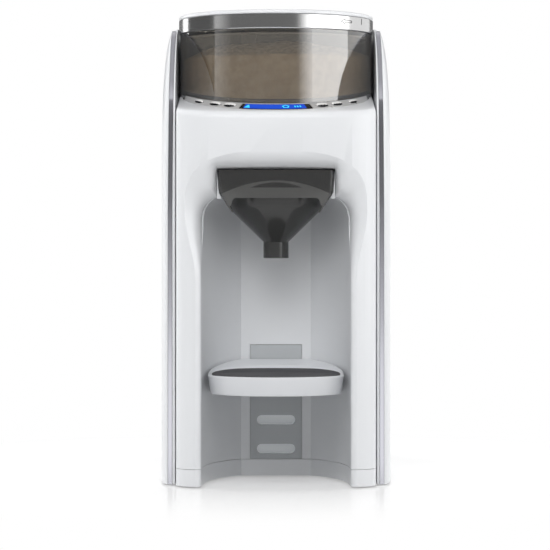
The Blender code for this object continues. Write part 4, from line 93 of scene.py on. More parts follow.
# Milk powder: its floor lies above the stirrer's arms, and its bore is wider than the post's turn
POWDER_GAP = 0.25 * MM
POWDER_FLOOR_Z = 295.2 * MM
POWDER_EDGE_Z = 314.2 * MM
POWDER_RIDGE_Z = 325.2 * MM
POWDER_RIDGE_RADIUS = 37 * MM
POWDER_BORE = 28.2 * MM
POWDER_NECK = (28.4 * MM, 305 * MM)
POWDER_BOWL = ((33 * MM, 2 * MM), (30 * MM, 8 * MM))
# Heights from which shade is painted between the powder's clumps
CLUMP_SHADE_FROM_Z = 313.5 * MM
CLUMP_SHADE_TO_Z = 315.5 * MM

# Hood of the funnel, the lip behind it and the lining beside it; an arch is its half width, rise and crown
# LIP_ARCH, OPENING_ARCH and HOOD_SILL_Z also bound the painted light on the hood
LIP_ARCH = (39 * MM, 9.4 * MM, 221.9 * MM)
OPENING_ARCH = (19.2 * MM, 4.05 * MM, 220.6 * MM)
HOOD_TOP_Z = 229.6 * MM
HOOD_EDGE_Z = 213.4 * MM
HOOD_EDGE_HALF = 41.0 * MM
HOOD_FRONT_Y = -129.5 * MM
HOOD_BACK_Y = -89.7 * MM
HOOD_MIDDLE_Y = -106 * MM
HOOD_CORNER_Y = -123.6 * MM
HOOD_BOW = 2.5 * MM
HOOD_CORNER = 3.0 * MM
HOOD_THICKNESS = 1.6 * MM
HOOD_SPREAD = 1.3 * MM
HOOD_TAPER = 5.7 / 9.9
HOOD_CHEEK_FOOT_Z = 215.9 * MM
HOOD_CORNER_FOOT_Z = 203.6 * MM
HOOD_POINT_Z = 198.6 * MM
HOOD_FRONT_FOOT_Z = 209.3 * MM
HOOD_FOOT_DROP = 5.0 * MM
HOOD_FOOT_LEVEL_SHARE = 0.86
HOOD_SILL_Z = 216.8 * MM
LIP_FRONT_Y = -126.2 * MM
LIP_BACK_Y = -125.0 * MM
LIP_HALF = 36.5 * MM
LIP_RISE = 8.2 * MM
LIP_BOTTOM_Z = 210.4 * MM
LINING_TOP_Z = 229.0 * MM
LINING_BACK_Y = -60 * MM
LINING_CLEAR = 0.45 * MM

# Pad of the tray, turned up at the back
PAD_SUNK = 1.3 * MM
PAD_PROUD = 0.3 * MM
PAD_LIFT = 2.6 * MM
PAD_LIFT_SHARE = 0.75
PAD_SPREAD = 1.4

# Lock marks: degrees from the front and height in millimetres
LOCK_ARROW = [(41.0, 339.4), (44.0, 341.2), (44.0, 340.2), (49.5, 340.2), (49.5, 338.6), (44.0, 338.6),
              (44.0, 337.6)]
LOCK_LINE = ((60.1, 338.2), (60.1, 342.6))
ARROW_STROKE = 0.42
LINE_STROKE = 0.7
MARK_PROUD = 0.06 * MM
MARK_LEVELS = (-0.05 * MM, 0.02 * MM)

# Floor and world: brightness, and where the floor turns to plain white
FLOOR_GLOW = 0.33
FLOOR_FADE_FROM = 0.15
FLOOR_FADE_TO = 0.38
FLOOR_SIZE = 6.0
WORLD_LIGHT = 0.53
WORLD_OVERHEAD = 0.45

# Upright cards that only mirrors see
CARD_RADIUS = 2.6
CARD_TOP = 1.8
CARD_STEPS = 24
STEPPED_CARDS = 6
FADE_WIDTH = 13 / 3
RAMP_WIDTH = 3

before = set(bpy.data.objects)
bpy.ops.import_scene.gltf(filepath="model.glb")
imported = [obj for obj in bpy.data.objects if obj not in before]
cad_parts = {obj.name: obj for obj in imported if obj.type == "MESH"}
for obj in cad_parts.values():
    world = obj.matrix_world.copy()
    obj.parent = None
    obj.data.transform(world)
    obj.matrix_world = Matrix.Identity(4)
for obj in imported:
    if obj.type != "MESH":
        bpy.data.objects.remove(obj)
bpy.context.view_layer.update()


def node(tree, kind, **settings):
    """Add a shader node and set its properties."""
    made = tree.nodes.new(kind)
    for key, value in settings.items():
        setattr(made, key, value)
    return made


def new_material(name, colour, roughness, metallic=0.0, **more):
    """A Principled material with plain values on its sockets."""
    material = bpy.data.materials.new(name)
    material.use_nodes = True
    shader = shader_of(material)
    shader.inputs["Base Color"].default_value = (*colour, 1.0)
    shader.inputs["Roughness"].default_value = roughness
    shader.inputs["Metallic"].default_value = metallic
    for key, value in more.items():
        shader.inputs[key.replace("_", " ")].default_value = value
    return material


def shader_of(material):
    """The Principled node of a material."""
    return material.node_tree.nodes["Principled BSDF"]


def add_grain(material, scale, strength, distance, low_rough, high_rough, detail=3.0):
    """Fine bump and uneven gloss from noise in the object's own space."""
    tree = material.node_tree
    shader = shader_of(material)
    place = node(tree, "ShaderNodeTexCoord")
    grain = node(tree, "ShaderNodeTexNoise")
    grain.inputs["Scale"].default_value = scale
    grain.inputs["Detail"].default_value = detail
    tree.links.new(place.outputs["Object"], grain.inputs["Vector"])
    bump = node(tree, "ShaderNodeBump")
    bump.inputs["Strength"].default_value = strength
    bump.inputs["Distance"].default_value = distance
    tree.links.new(grain.outputs["Fac"], bump.inputs["Height"])
    tree.links.new(bump.outputs["Normal"], shader.inputs["Normal"])
    broad = node(tree, "ShaderNodeTexNoise")
    broad.inputs["Scale"].default_value = scale / 40
    tree.links.new(place.outputs["Object"], broad.inputs["Vector"])
    gloss = node(tree, "ShaderNodeMapRange")
    gloss.inputs["To Min"].default_value = low_rough
    gloss.inputs["To Max"].default_value = high_rough
    tree.links.new(broad.outputs["Fac"], gloss.inputs["Value"])
    tree.links.new(gloss.outputs["Result"], shader.inputs["Roughness"])
    return material


def white_plastic(name="white_plastic", colour=(0.79, 0.803, 0.822)):
    """Glossy moulding with a faint moulded ripple."""
    material = new_material(name, colour, 0.3, Coat_Weight=0.2, Coat_Roughness=0.22)
    return add_grain(material, 900.0, 0.04, 0.0002, 0.28, 0.36)


def grey_plastic(name="grey_plastic", colour=(0.32, 0.32, 0.33)):
    """Fine-grained matt moulding."""
    material = new_material(name, colour, 0.5)
    return add_grain(material, 2500.0, 0.12, 0.0002, 0.42, 0.56)


def satin_silver():
    """Sprayed silver with a soft sheen."""
    material = new_material("satin_silver", (0.7, 0.7, 0.7), 0.3, 0.45)
    return add_grain(material, 3000.0, 0.03, 0.0001, 0.24, 0.34)


def chrome():
    """Plated strip with a cool tint."""
    material = new_material("chrome", (0.7, 0.7, 0.765), 0.1, 1.0)
    return add_grain(material, 400.0, 0.02, 0.0002, 0.08, 0.13)


def brushed_band():
    """Silver of the lid's band, brushed around the lid."""
    material = new_material("brushed_band", (0.66, 0.66, 0.66), 0.14, 1.0)
    tree = material.node_tree
    shader = shader_of(material)
    place = node(tree, "ShaderNodeTexCoord")
    stretch = node(tree, "ShaderNodeMapping")
    stretch.inputs["Scale"].default_value = (25.0, 25.0, 4500.0)
    lines = node(tree, "ShaderNodeTexNoise")
    lines.inputs["Scale"].default_value = 1.0
    tree.links.new(place.outputs["Object"], stretch.inputs["Vector"])
    tree.links.new(stretch.outputs["Vector"], lines.inputs["Vector"])
    gloss = node(tree, "ShaderNodeMapRange")
    gloss.inputs["To Min"].default_value = 0.1
    gloss.inputs["To Max"].default_value = 0.2
    tree.links.new(lines.outputs["Fac"], gloss.inputs["Value"])
    tree.links.new(gloss.outputs["Result"], shader.inputs["Roughness"])
    bump = node(tree, "ShaderNodeBump")
    bump.inputs["Strength"].default_value = 0.05
    bump.inputs["Distance"].default_value = 0.0001
    tree.links.new(lines.outputs["Fac"], bump.inputs["Height"])
    tree.links.new(bump.outputs["Normal"], shader.inputs["Normal"])
    return material


def metal(name, colour, rough):
    """Plain metal of the hidden works."""
    material = new_material(name, colour, rough, 1.0)
    return add_grain(material, 1500.0, 0.05, 0.0002, rough * 0.85, rough * 1.2)


def smoke(name, colour, transmission, rough=0.04, **more):
    """Tinted clear plastic."""
    material = new_material(name, colour, rough, Transmission_Weight=transmission, IOR=1.49, **more)
    return add_grain(material, 500.0, 0.02, 0.0001, rough, rough * 1.6)


def rubber(name="soft_black", colour=(0.035, 0.035, 0.037)):
    """Matt rubber."""
    material = new_material(name, colour, 0.75)
    return add_grain(material, 3500.0, 0.2, 0.0002, 0.68, 0.8)


def piano_black():
    """Black gloss of the display window and the buttons."""
    material = new_material("piano_black", (0.006, 0.006, 0.008), 0.08, Specular_IOR_Level=0.2)
    return add_grain(material, 600.0, 0.01, 0.0001, 0.06, 0.1)


def slotted_panel_painted_light():
    """Grey insert with painted light in its slots: a pale tint and a faint glow of their own."""
    material = new_material("slotted_panel_painted_light", (0.5, 0.52, 0.535), 0.4)
    tree = material.node_tree
    place = node(tree, "ShaderNodeTexCoord")
    parts = node(tree, "ShaderNodeSeparateXYZ")
    tree.links.new(place.outputs["Object"], parts.inputs["Vector"])
    inside = node(tree, "ShaderNodeMapRange", clamp=True)
    inside.inputs["From Min"].default_value = SLOT_FACE_Y + 0.2 * MM
    inside.inputs["From Max"].default_value = SLOT_FACE_Y + 0.6 * MM
    tree.links.new(parts.outputs["Y"], inside.inputs["Value"])
    # Painted light: the slots' insides are tinted pale
    painted_tint = node(tree, "ShaderNodeMix", data_type="RGBA")
    painted_tint.inputs["A"].default_value = (0.5, 0.52, 0.535, 1.0)
    painted_tint.inputs["B"].default_value = (0.95, 0.96, 0.97, 1.0)
    tree.links.new(inside.outputs["Result"], painted_tint.inputs["Factor"])
    tree.links.new(painted_tint.outputs["Result"], shader_of(material).inputs["Base Color"])
    # Painted light: a faint glow of their own inside the slots
    lift = node(tree, "ShaderNodeMix", data_type="RGBA")
    lift.inputs["A"].default_value = (0.0, 0.0, 0.0, 1.0)
    lift.inputs["B"].default_value = (0.035, 0.037, 0.038, 1.0)
    tree.links.new(inside.outputs["Result"], lift.inputs["Factor"])
    tree.links.new(lift.outputs["Result"], shader_of(material).inputs["Emission Color"])
    shader_of(material).inputs["Emission Strength"].default_value = 1.0
    return add_grain(material, 2500.0, 0.05, 0.0002, 0.34, 0.46)


def painted_shade_inside(material, radius):
    """Paint shade on a material: dark grey within a distance of the container's axis."""
    tree = material.node_tree
    place = node(tree, "ShaderNodeTexCoord")
    flat = node(tree, "ShaderNodeVectorMath", operation="MULTIPLY_ADD")
    flat.inputs[1].default_value = (1.0, 1.0, 0.0)
    flat.inputs[2].default_value = (0.0, -AXIS_Y, 0.0)
    tree.links.new(place.outputs["Object"], flat.inputs[0])
    reach = node(tree, "ShaderNodeVectorMath", operation="LENGTH")
    tree.links.new(flat.outputs["Vector"], reach.inputs[0])
    outside = node(tree, "ShaderNodeMapRange")
    outside.inputs["From Min"].default_value = radius - 0.15 * MM
    outside.inputs["From Max"].default_value = radius + 0.15 * MM
    tree.links.new(reach.outputs["Value"], outside.inputs["Value"])
    # Painted shade: dark grey inside the given radius
    painted_tint = node(tree, "ShaderNodeMix", data_type="RGBA")
    painted_tint.inputs["A"].default_value = (0.02, 0.02, 0.02, 1.0)
    painted_tint.inputs["B"].default_value = shader_of(material).inputs["Base Color"].default_value
    tree.links.new(outside.outputs["Result"], painted_tint.inputs["Factor"])
    tree.links.new(painted_tint.outputs["Result"], shader_of(material).inputs["Base Color"])
    return material


def milk_powder():
    """Dry cream powder, grainy, with paler and darker patches, and painted shade between the clumps of its
    heap.
    """
    material = new_material("milk_powder", (0.84, 0.69, 0.47), 0.95, Specular_IOR_Level=0.1)
    tree = material.node_tree
    place = node(tree, "ShaderNodeTexCoord")
    patches = node(tree, "ShaderNodeTexNoise")
    patches.inputs["Scale"].default_value = 160.0
    patches.inputs["Detail"].default_value = 6.0
    tree.links.new(place.outputs["Object"], patches.inputs["Vector"])
    ramp = node(tree, "ShaderNodeValToRGB")
    ramp.color_ramp.elements[0].position = 0.35
    ramp.color_ramp.elements[0].color = (0.74, 0.58, 0.37, 1.0)
    ramp.color_ramp.elements[1].position = 0.62
    ramp.color_ramp.elements[1].color = (0.93, 0.78, 0.55, 1.0)
    tree.links.new(patches.outputs["Fac"], ramp.inputs["Fac"])
    clumps = node(tree, "ShaderNodeTexNoise")
    clumps.inputs["Scale"].default_value = 420.0
    clumps.inputs["Detail"].default_value = 4.0
    tree.links.new(place.outputs["Object"], clumps.inputs["Vector"])
    parts = node(tree, "ShaderNodeSeparateXYZ")
    tree.links.new(place.outputs["Object"], parts.inputs["Vector"])
    clump_shade_band = node(tree, "ShaderNodeMapRange")
    clump_shade_band.inputs["From Min"].default_value = CLUMP_SHADE_FROM_Z
    clump_shade_band.inputs["From Max"].default_value = CLUMP_SHADE_TO_Z
    tree.links.new(parts.outputs["Z"], clump_shade_band.inputs["Value"])
    # Painted shade: darker brown between the clumps, above the height of the powder's edge
    shade = node(tree, "ShaderNodeMapRange")
    shade.inputs["From Min"].default_value = 0.42
    shade.inputs["From Max"].default_value = 0.56
    shade.inputs["To Min"].default_value = 0.6
    shade.inputs["To Max"].default_value = 0.0
    tree.links.new(clumps.outputs["Fac"], shade.inputs["Value"])
    dark = node(tree, "ShaderNodeMath", operation="MULTIPLY")
    tree.links.new(clump_shade_band.outputs["Result"], dark.inputs[0])
    tree.links.new(shade.outputs["Result"], dark.inputs[1])
    painted_tint = node(tree, "ShaderNodeMix", data_type="RGBA")
    painted_tint.inputs["B"].default_value = (0.36, 0.25, 0.15, 1.0)
    tree.links.new(ramp.outputs["Color"], painted_tint.inputs["A"])
    tree.links.new(dark.outputs[0], painted_tint.inputs["Factor"])
    tree.links.new(painted_tint.outputs["Result"], shader_of(material).inputs["Base Color"])
    return add_grain(material, 900.0, 0.5, 0.0006, 0.9, 1.0, 6.0)


def lit_screen():
    """Blue display, lit from behind, with faintly paler patches."""
    material = new_material("lit_screen", (0.004, 0.012, 0.08), 0.2, Specular_IOR_Level=0.0)
    tree = material.node_tree
    shader = shader_of(material)
    place = node(tree, "ShaderNodeTexCoord")
    cells = node(tree, "ShaderNodeTexNoise")
    cells.inputs["Scale"].default_value = 60.0
    tree.links.new(place.outputs["Object"], cells.inputs["Vector"])
    ramp = node(tree, "ShaderNodeValToRGB")
    ramp.color_ramp.elements[0].color = (0.01, 0.055, 0.5, 1.0)
    ramp.color_ramp.elements[1].color = (0.025, 0.1, 0.68, 1.0)
    tree.links.new(cells.outputs["Fac"], ramp.inputs["Fac"])
    tree.links.new(ramp.outputs["Color"], shader.inputs["Emission Color"])
    shader.inputs["Emission Strength"].default_value = 1.0
    return add_grain(material, 800.0, 0.01, 0.0001, 0.16, 0.24)


def lit_sign():
    """Cyan of the signs on the display."""
    material = new_material("lit_sign", (0.02, 0.2, 0.3), 0.3, Emission_Color=(0.02, 0.62, 0.9, 1.0),
                            Emission_Strength=1.0)
    return add_grain(material, 800.0, 0.01, 0.0001, 0.25, 0.35)


def hood_smoke_painted_lip():
    """Smoke of the funnel's hood, with painted light: paler where the arched lip behind it shows through,
    around its dark opening.
    """
    material = smoke("hood_smoke_painted_lip", (0.06, 0.06, 0.059), 0.35, 0.12)
    tree = material.node_tree
    place = node(tree, "ShaderNodeTexCoord")
    parts = node(tree, "ShaderNodeSeparateXYZ")
    tree.links.new(place.outputs["Object"], parts.inputs["Vector"])
    square = node(tree, "ShaderNodeMath", operation="POWER")
    square.inputs[1].default_value = 2.0
    sideways = node(tree, "ShaderNodeMath", operation="ABSOLUTE")
    tree.links.new(parts.outputs["X"], sideways.inputs[0])
    tree.links.new(sideways.outputs[0], square.inputs[0])

    def below_arch(half, rise, crown):
        """1 below an arch that falls by rise from its crown at half its width."""
        height = node(tree, "ShaderNodeMath", operation="MULTIPLY_ADD")
        height.inputs[1].default_value = rise / half**2
        tree.links.new(square.outputs[0], height.inputs[0])
        tree.links.new(parts.outputs["Z"], height.inputs[2])
        edge = node(tree, "ShaderNodeMapRange")
        edge.inputs["From Min"].default_value = crown + EDGE_BLUR
        edge.inputs["From Max"].default_value = crown - EDGE_BLUR
        tree.links.new(height.outputs[0], edge.inputs["Value"])
        return edge.outputs["Result"]

    lip = below_arch(*LIP_ARCH)
    opening = below_arch(*OPENING_ARCH)
    sill = node(tree, "ShaderNodeMapRange")
    sill.inputs["From Min"].default_value = HOOD_SILL_Z - EDGE_BLUR
    sill.inputs["From Max"].default_value = HOOD_SILL_Z + EDGE_BLUR
    tree.links.new(parts.outputs["Z"], sill.inputs["Value"])
    dark = node(tree, "ShaderNodeMath", operation="MULTIPLY")
    tree.links.new(opening, dark.inputs[0])
    tree.links.new(sill.outputs["Result"], dark.inputs[1])
    pale = node(tree, "ShaderNodeMath", operation="SUBTRACT", use_clamp=True)
    tree.links.new(lip, pale.inputs[0])
    tree.links.new(dark.outputs[0], pale.inputs[1])
    # Painted light: a paler tint over the lip's arch, standing in for the lip seen through the smoke
    painted_tint = node(tree, "ShaderNodeMix", data_type="RGBA")
    painted_tint.inputs["A"].default_value = (0.055, 0.055, 0.054, 1.0)
    painted_tint.inputs["B"].default_value = (0.125, 0.125, 0.122, 1.0)
    tree.links.new(pale.outputs[0], painted_tint.inputs["Factor"])
    tree.links.new(painted_tint.outputs["Result"], shader_of(material).inputs["Base Color"])
    return material


WHITE = white_plastic()
BLACK_GLOSS = piano_black()
SMOKE_DARK = smoke("smoke_dark", (0.085, 0.085, 0.083), 0.5, 0.1)
MATERIALS = {
    "gloss_white": WHITE,
    "moulded_grey": grey_plastic(),
    "silver_satin": satin_silver(),
    "trim_chrome": chrome(),
    "zinc_steel": metal("zinc_steel", (0.62, 0.62, 0.6), 0.35),
    "cast_aluminium": metal("cast_aluminium", (0.7, 0.7, 0.71), 0.45),
    "pinion_brass": metal("pinion_brass", (0.78, 0.6, 0.28), 0.3),
    "smoke_clear": smoke("smoke_clear", (0.56, 0.51, 0.435), 1.0, Coat_Weight=1.0, Coat_IOR=2.3,
                         Coat_Roughness=0.02),
    "smoke_dark": SMOKE_DARK,
    "display_black": BLACK_GLOSS,
    "dark_rubber": rubber(),
    "black_plastic": grey_plastic("black_plastic", (0.03, 0.03, 0.032)),
    "board_green": grey_plastic("board_green", (0.02, 0.13, 0.06)),
    "silicone_hose": rubber("silicone_hose", (0.6, 0.6, 0.58)),
}
NODE_MATERIALS = {
    "bottle_tray": white_plastic("tray_plastic", (0.72, 0.735, 0.76)),
    "slot_panel": slotted_panel_painted_light(),
    "lid_band": brushed_band(),
    # Painted shade: the seal and the cover are dark grey inside, near the container's axis
    "lid_seal": painted_shade_inside(rubber("seal_grey_painted_shade", (0.3, 0.3, 0.3)), SEAL_MIDDLE),
    "funnel_guide": MATERIALS["black_plastic"],
    "top_cover": painted_shade_inside(white_plastic("cradled_white_painted_shade"), WELL_RADIUS + 0.75 * MM),
    "water_tank": smoke("tank_smoke", (0.6, 0.61, 0.62), 0.95, Coat_Weight=0.4, Coat_Roughness=0.03),
    "stirrer": grey_plastic("stirrer_grey", (0.62, 0.62, 0.63)),
}


def smooth_by_angle_group():
    """Geometry nodes that weld a mesh and round its shading, but keep its sharp edges."""
    group = bpy.data.node_groups.new("soft_shading", "GeometryNodeTree")
    group.interface.new_socket("Geometry", in_out="INPUT", socket_type="NodeSocketGeometry")
    group.interface.new_socket("Geometry", in_out="OUTPUT", socket_type="NodeSocketGeometry")
    source = group.nodes.new("NodeGroupInput")
    target = group.nodes.new("NodeGroupOutput")
    merge = group.nodes.new("GeometryNodeMergeByDistance")
    merge.inputs["Distance"].default_value = 0.00001
    faces = group.nodes.new("GeometryNodeSetShadeSmooth")
    angle = group.nodes.new("GeometryNodeInputMeshEdgeAngle")
    compare = group.nodes.new("FunctionNodeCompare")
    compare.operation = "LESS_EQUAL"
    compare.inputs[1].default_value = math.radians(32)
    edges = group.nodes.new("GeometryNodeSetShadeSmooth")
    edges.domain = "EDGE"
    group.links.new(source.outputs[0], merge.inputs["Geometry"])
    group.links.new(merge.outputs["Geometry"], faces.inputs["Geometry"])
    group.links.new(faces.outputs["Geometry"], edges.inputs["Geometry"])
    group.links.new(angle.outputs["Unsigned Angle"], compare.inputs[0])
    group.links.new(compare.outputs["Result"], edges.inputs["Shade Smooth"])
    group.links.new(edges.outputs["Geometry"], target.inputs[0])
    return group


SHADING = smooth_by_angle_group()


def soften(obj, bevel=0.0):
    """Round the shading, and the edges where a bevel is given."""
    first = obj.modifiers.new("shading", "NODES")
    first.node_group = SHADING
    if bevel:
        edge = obj.modifiers.new("edges", "BEVEL")
        edge.width = bevel
        edge.segments = 2
        edge.limit_method = "ANGLE"
        edge.angle_limit = math.radians(35)
        edge.harden_normals = True


def dress_frame():
    """Give every carried-over node its material and rounded shading."""
    for name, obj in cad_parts.items():
        for index, slot in enumerate(obj.material_slots):
            key = slot.material.name.split(".")[0]
            slot.material = NODE_MATERIALS.get(name, MATERIALS[key])
        soften(obj)


dress_frame()


def new_object(name, builder, materials):
    """Turn a bmesh into an object of the scene."""
    mesh = bpy.data.meshes.new(name)
    bmesh.ops.recalc_face_normals(builder, faces=builder.faces)
    builder.to_mesh(mesh)
    builder.free()
    obj = bpy.data.objects.new(name, mesh)
    bpy.context.scene.collection.objects.link(obj)
    for material in materials:
        mesh.materials.append(material)
    return obj


def add_piece(name, builder, materials, body, replaced=()):
    """A finished piece that rides on a body, in place of the nodes it replaces."""
    obj = new_object(name, builder, materials)
    soften(obj)
    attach(obj, body)
    if replaced:
        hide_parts(*replaced)
    return obj


def skin(builder, rows, closed=False):
    """Faces between rows of points; each row closes on itself if asked."""
    made = [[builder.verts.new(point) for point in row] for row in rows]
    for low, high in zip(made, made[1:]):
        count = len(low)
        for index in range(count if closed else count - 1):
            after = (index + 1) % count
            builder.faces.new((low[index], low[after], high[after], high[index]))
    return made


def cap(builder, loop):
    """Close a loop of vertices with one face."""
    return builder.faces.new(loop)


def rim_z(y):
    """Height of the sloping plane that the container's lower edge lies on."""
    return RIM_FRONT_Z + RIM_SLOPE * (y - CONTAINER_FRONT_Y)


def band_reach(angle):
    """Distance from the container's axis to the control band's outer edge."""
    sideways = BAND_SHIFT * math.sin(angle)
    return BAND_SHIFT * math.cos(angle) + math.sqrt(BAND_RADIUS**2 - sideways**2)


def band_point(degrees, share, lift=0.0, margin=0.0):
    """A point on the control band: share 0 at the container, 1 at the outer edge."""
    angle = math.radians(degrees)
    inner = WELL_RADIUS + margin
    outer = band_reach(angle) - GAP - margin
    radius = inner + (outer - inner) * share
    y = AXIS_Y - radius * math.cos(angle)
    slope_share = (radius - WELL_RADIUS) / (band_reach(angle) - WELL_RADIUS)
    return Vector((radius * math.sin(angle), y, rim_z(y) - SHELF_DROP * slope_share + lift))


def band_strip(builder, profile, start, end, steps):
    """A strip along the band with the given cross profile of share and lift."""
    rows = []
    for step in range(steps + 1):
        degrees = start + (end - start) * step / steps
        rows.append([band_point(degrees, share, lift, WINDOW_MARGIN) for share, lift in profile])
    made = skin(builder, rows, closed=True)
    cap(builder, made[0])
    cap(builder, made[-1])


def build_window():
    """The black window with rounded edges."""
    builder = bmesh.new()
    low = -WINDOW_DEPTH
    profile = [(0.0, low), (0.0, -0.35 * MM), (0.02, -0.1 * MM), (0.07, 0.0), (0.5, 0.03 * MM), (0.93, 0.0),
               (0.98, -0.1 * MM), (1.0, -0.35 * MM), (1.0, low)]
    band_strip(builder, profile, -WINDOW_HALF_ANGLE, WINDOW_HALF_ANGLE, 44)
    add_piece("display_window", builder, [BLACK_GLOSS], "machine", ["lcd_window"])


def build_screen():
    """The lit blue field in the window."""
    builder = bmesh.new()
    profile = [(0.1, 0.0), (0.1, SCREEN_LIFT), (0.9, SCREEN_LIFT), (0.9, 0.0)]
    band_strip(builder, profile, SCREEN_START, SCREEN_END, 36)
    add_piece("display_screen", builder, [lit_screen()], "machine")


def build_signs():
    """Generic signs on the display: a triangle, a ring of five sides and bars."""
    builder = bmesh.new()

    def plate(outline):
        rows = [[band_point(degrees, share, lift, WINDOW_MARGIN) for degrees, share in outline]
                for lift in (SIGN_BOTTOM, SIGN_TOP)]
        made = skin(builder, rows, closed=True)
        cap(builder, made[0])
        cap(builder, made[1])

    plate(TRIANGLE)
    corners = []
    for index in range(5):
        angle = math.tau * index / 5
        corners.append((RING_MIDDLE + RING_HALF * math.sin(angle), 0.5 - RING_TALL * math.cos(angle)))
    for first, second in zip(corners, corners[1:] + corners[:1]):
        inner = [(RING_MIDDLE + (degrees - RING_MIDDLE) * RING_INNER, 0.5 + (share - 0.5) * RING_INNER)
                 for degrees, share in (second, first)]
        plate([first, second] + inner)
    for left in BAR_STARTS:
        right = left + BAR_WIDTH
        plate([(left, BAR_OUTER), (right, BAR_OUTER), (right, BAR_INNER), (left, BAR_INNER)])
    add_piece("display_signs", builder, [lit_sign()], "machine")


def button_frame(degrees):
    """Middle of a button, with its directions along, across and out of the band."""
    centre = band_point(degrees, 0.5)
    along = (band_point(degrees + 1, 0.5) - band_point(degrees - 1, 0.5)).normalized()
    across = (band_point(degrees, 1.0) - band_point(degrees, 0.0)).normalized()
    out = along.cross(across).normalized()
    if out.z < 0:
        out = -out
    across = across - along * across.dot(along)
    return centre, along, across.normalized(), out


def build_button(name, degrees, materials):
    """A domed oval button: pale on top, black at its outer side and around its foot."""
    builder = bmesh.new()
    centre, along, across, out = button_frame(degrees)
    width = BUTTON_SHARE * (band_reach(math.radians(degrees)) - WELL_RADIUS)
    levels = [(-BUTTON_SKIRT, 1.0), (0.2 * MM, 1.0), (0.5 * MM, 0.97), (0.72 * MM, 0.9), (0.85 * MM, 0.76),
              (BUTTON_PROUD, 0.45)]
    steps = 40
    rows = []
    for height, scale in levels:
        row = []
        for step in range(steps):
            angle = math.tau * step / steps
            row.append(centre + out * height + along * math.cos(angle) * BUTTON_LENGTH / 2 * scale
                       + across * math.sin(angle) * width / 2 * scale)
        rows.append(row)
    made = skin(builder, rows, closed=True)
    cap(builder, made[0])
    top = builder.verts.new(centre + out * (BUTTON_PROUD + 0.02 * MM))
    for step in range(steps):
        builder.faces.new((made[-1][step], made[-1][(step + 1) % steps], top))
    for face in builder.faces:
        outward = (face.calc_center_median() - centre).dot(across)
        raised = (face.calc_center_median() - centre).dot(out)
        face.material_index = 1 if outward > 0.2 * width or raised < 0.1 * MM else 0
    add_piece(name + "_cap", builder, materials, name, [name])


def build_buttons():
    """Six buttons, three on each side of the display."""
    pale = white_plastic("button_pale", (0.95, 0.94, 0.93))
    for place, degrees in BUTTON_ANGLES.items():
        build_button("button_right_" + place, degrees, [pale, BLACK_GLOSS])
        build_button("button_left_" + place, -degrees, [pale, BLACK_GLOSS])


def build_powder():
    """The heap of milk powder: pressed to the wall, piled up inside, hollow around the stirrer."""
    builder = bmesh.new()
    wall = CONTAINER_RADIUS - CONTAINER_WALL - POWDER_GAP
    steps = 300
    rows = []
    for step in range(steps):
        angle = math.tau * step / steps
        side, front = math.sin(angle), -math.cos(angle)

        def spot(radius, z):
            return (radius * side, AXIS_Y + radius * front, z)

        def uneven(radius, scale, seed):
            return noise.noise(Vector((radius * side * scale, radius * front * scale, seed)))

        def bed(radius):
            return rim_z(AXIS_Y + radius * front) + CONTAINER_WALL + 0.3 * MM

        unevenness = 1.9 * MM * uneven(wall, 32, 3.0)
        edge = POWDER_EDGE_Z + unevenness + 1.3 * MM * uneven(wall, 90, 7.0) + side * 1.2 * MM
        ridge = POWDER_RIDGE_Z + 2.6 * MM * uneven(40 * MM, 26, 11.0)
        lip = SPIGOT_INNER - 0.4 * MM
        row = [spot(POWDER_BORE, POWDER_FLOOR_Z), spot(lip, POWDER_FLOOR_Z), spot(lip, bed(lip)),
               spot(wall, bed(wall)), spot(wall, edge)]
        for share in (0.03, 0.08, 0.15, 0.23, 0.32, 0.42, 0.52, 0.63, 0.75, 0.88, 1.0):
            radius = wall + (POWDER_RIDGE_RADIUS - wall) * share
            clumps = 1.1 * MM * uneven(radius, 210, 1.0) + 0.5 * MM * uneven(radius, 480, 5.0)
            row.append(spot(radius, edge + (ridge - edge) * math.sin(share * math.pi / 2) + clumps))
        row += [spot(radius, ridge - drop) for radius, drop in POWDER_BOWL]
        row.append(spot(*POWDER_NECK))
        rows.append(row)
    made = [[builder.verts.new(point) for point in row] for row in rows]
    for index in range(steps):
        near, far = made[index], made[(index + 1) % steps]
        for place in range(len(near)):
            after = (place + 1) % len(near)
            builder.faces.new((near[place], near[after], far[after], far[place]))
    add_piece("powder_heap", builder, [milk_powder()], "container")


def build_lock_marks():
    """Generic marks on the lid's band: an outlined arrow and a short line."""
    builder = bmesh.new()
    radius = LID_RADIUS + MARK_PROUD

    def spot(degrees, z, out):
        angle = math.radians(degrees)
        return ((radius + out) * math.sin(angle), AXIS_Y - (radius + out) * math.cos(angle), z * MM)

    def stroke(start, end, width):
        run = Vector((math.radians(end[0] - start[0]) * radius / MM, end[1] - start[1]))
        aside = Vector((-run.y, run.x)).normalized() * width / 2
        turn = math.degrees(aside.x * MM / radius)
        corners = [(start[0] + turn, start[1] + aside.y), (end[0] + turn, end[1] + aside.y),
                   (end[0] - turn, end[1] - aside.y), (start[0] - turn, start[1] - aside.y)]
        rows = [[spot(degrees, z, out) for degrees, z in corners] for out in MARK_LEVELS]
        made = skin(builder, rows, closed=True)
        cap(builder, made[0])
        cap(builder, made[1])

    for start, end in zip(LOCK_ARROW, LOCK_ARROW[1:] + LOCK_ARROW[:1]):
        stroke(start, end, ARROW_STROKE)
    stroke(*LOCK_LINE, LINE_STROKE)
    add_piece("lock_marks", builder, [rubber("mark_grey", (0.05, 0.05, 0.05))], "lid")


def cover_half(z):
    """Half width of the funnel's cover at a height."""
    if z > HOOD_EDGE_Z:
        return HOOD_EDGE_HALF + HOOD_SPREAD * (z - HOOD_EDGE_Z) / (HOOD_TOP_Z - HOOD_EDGE_Z)
    return HOOD_EDGE_HALF - HOOD_TAPER * (HOOD_EDGE_Z - z)


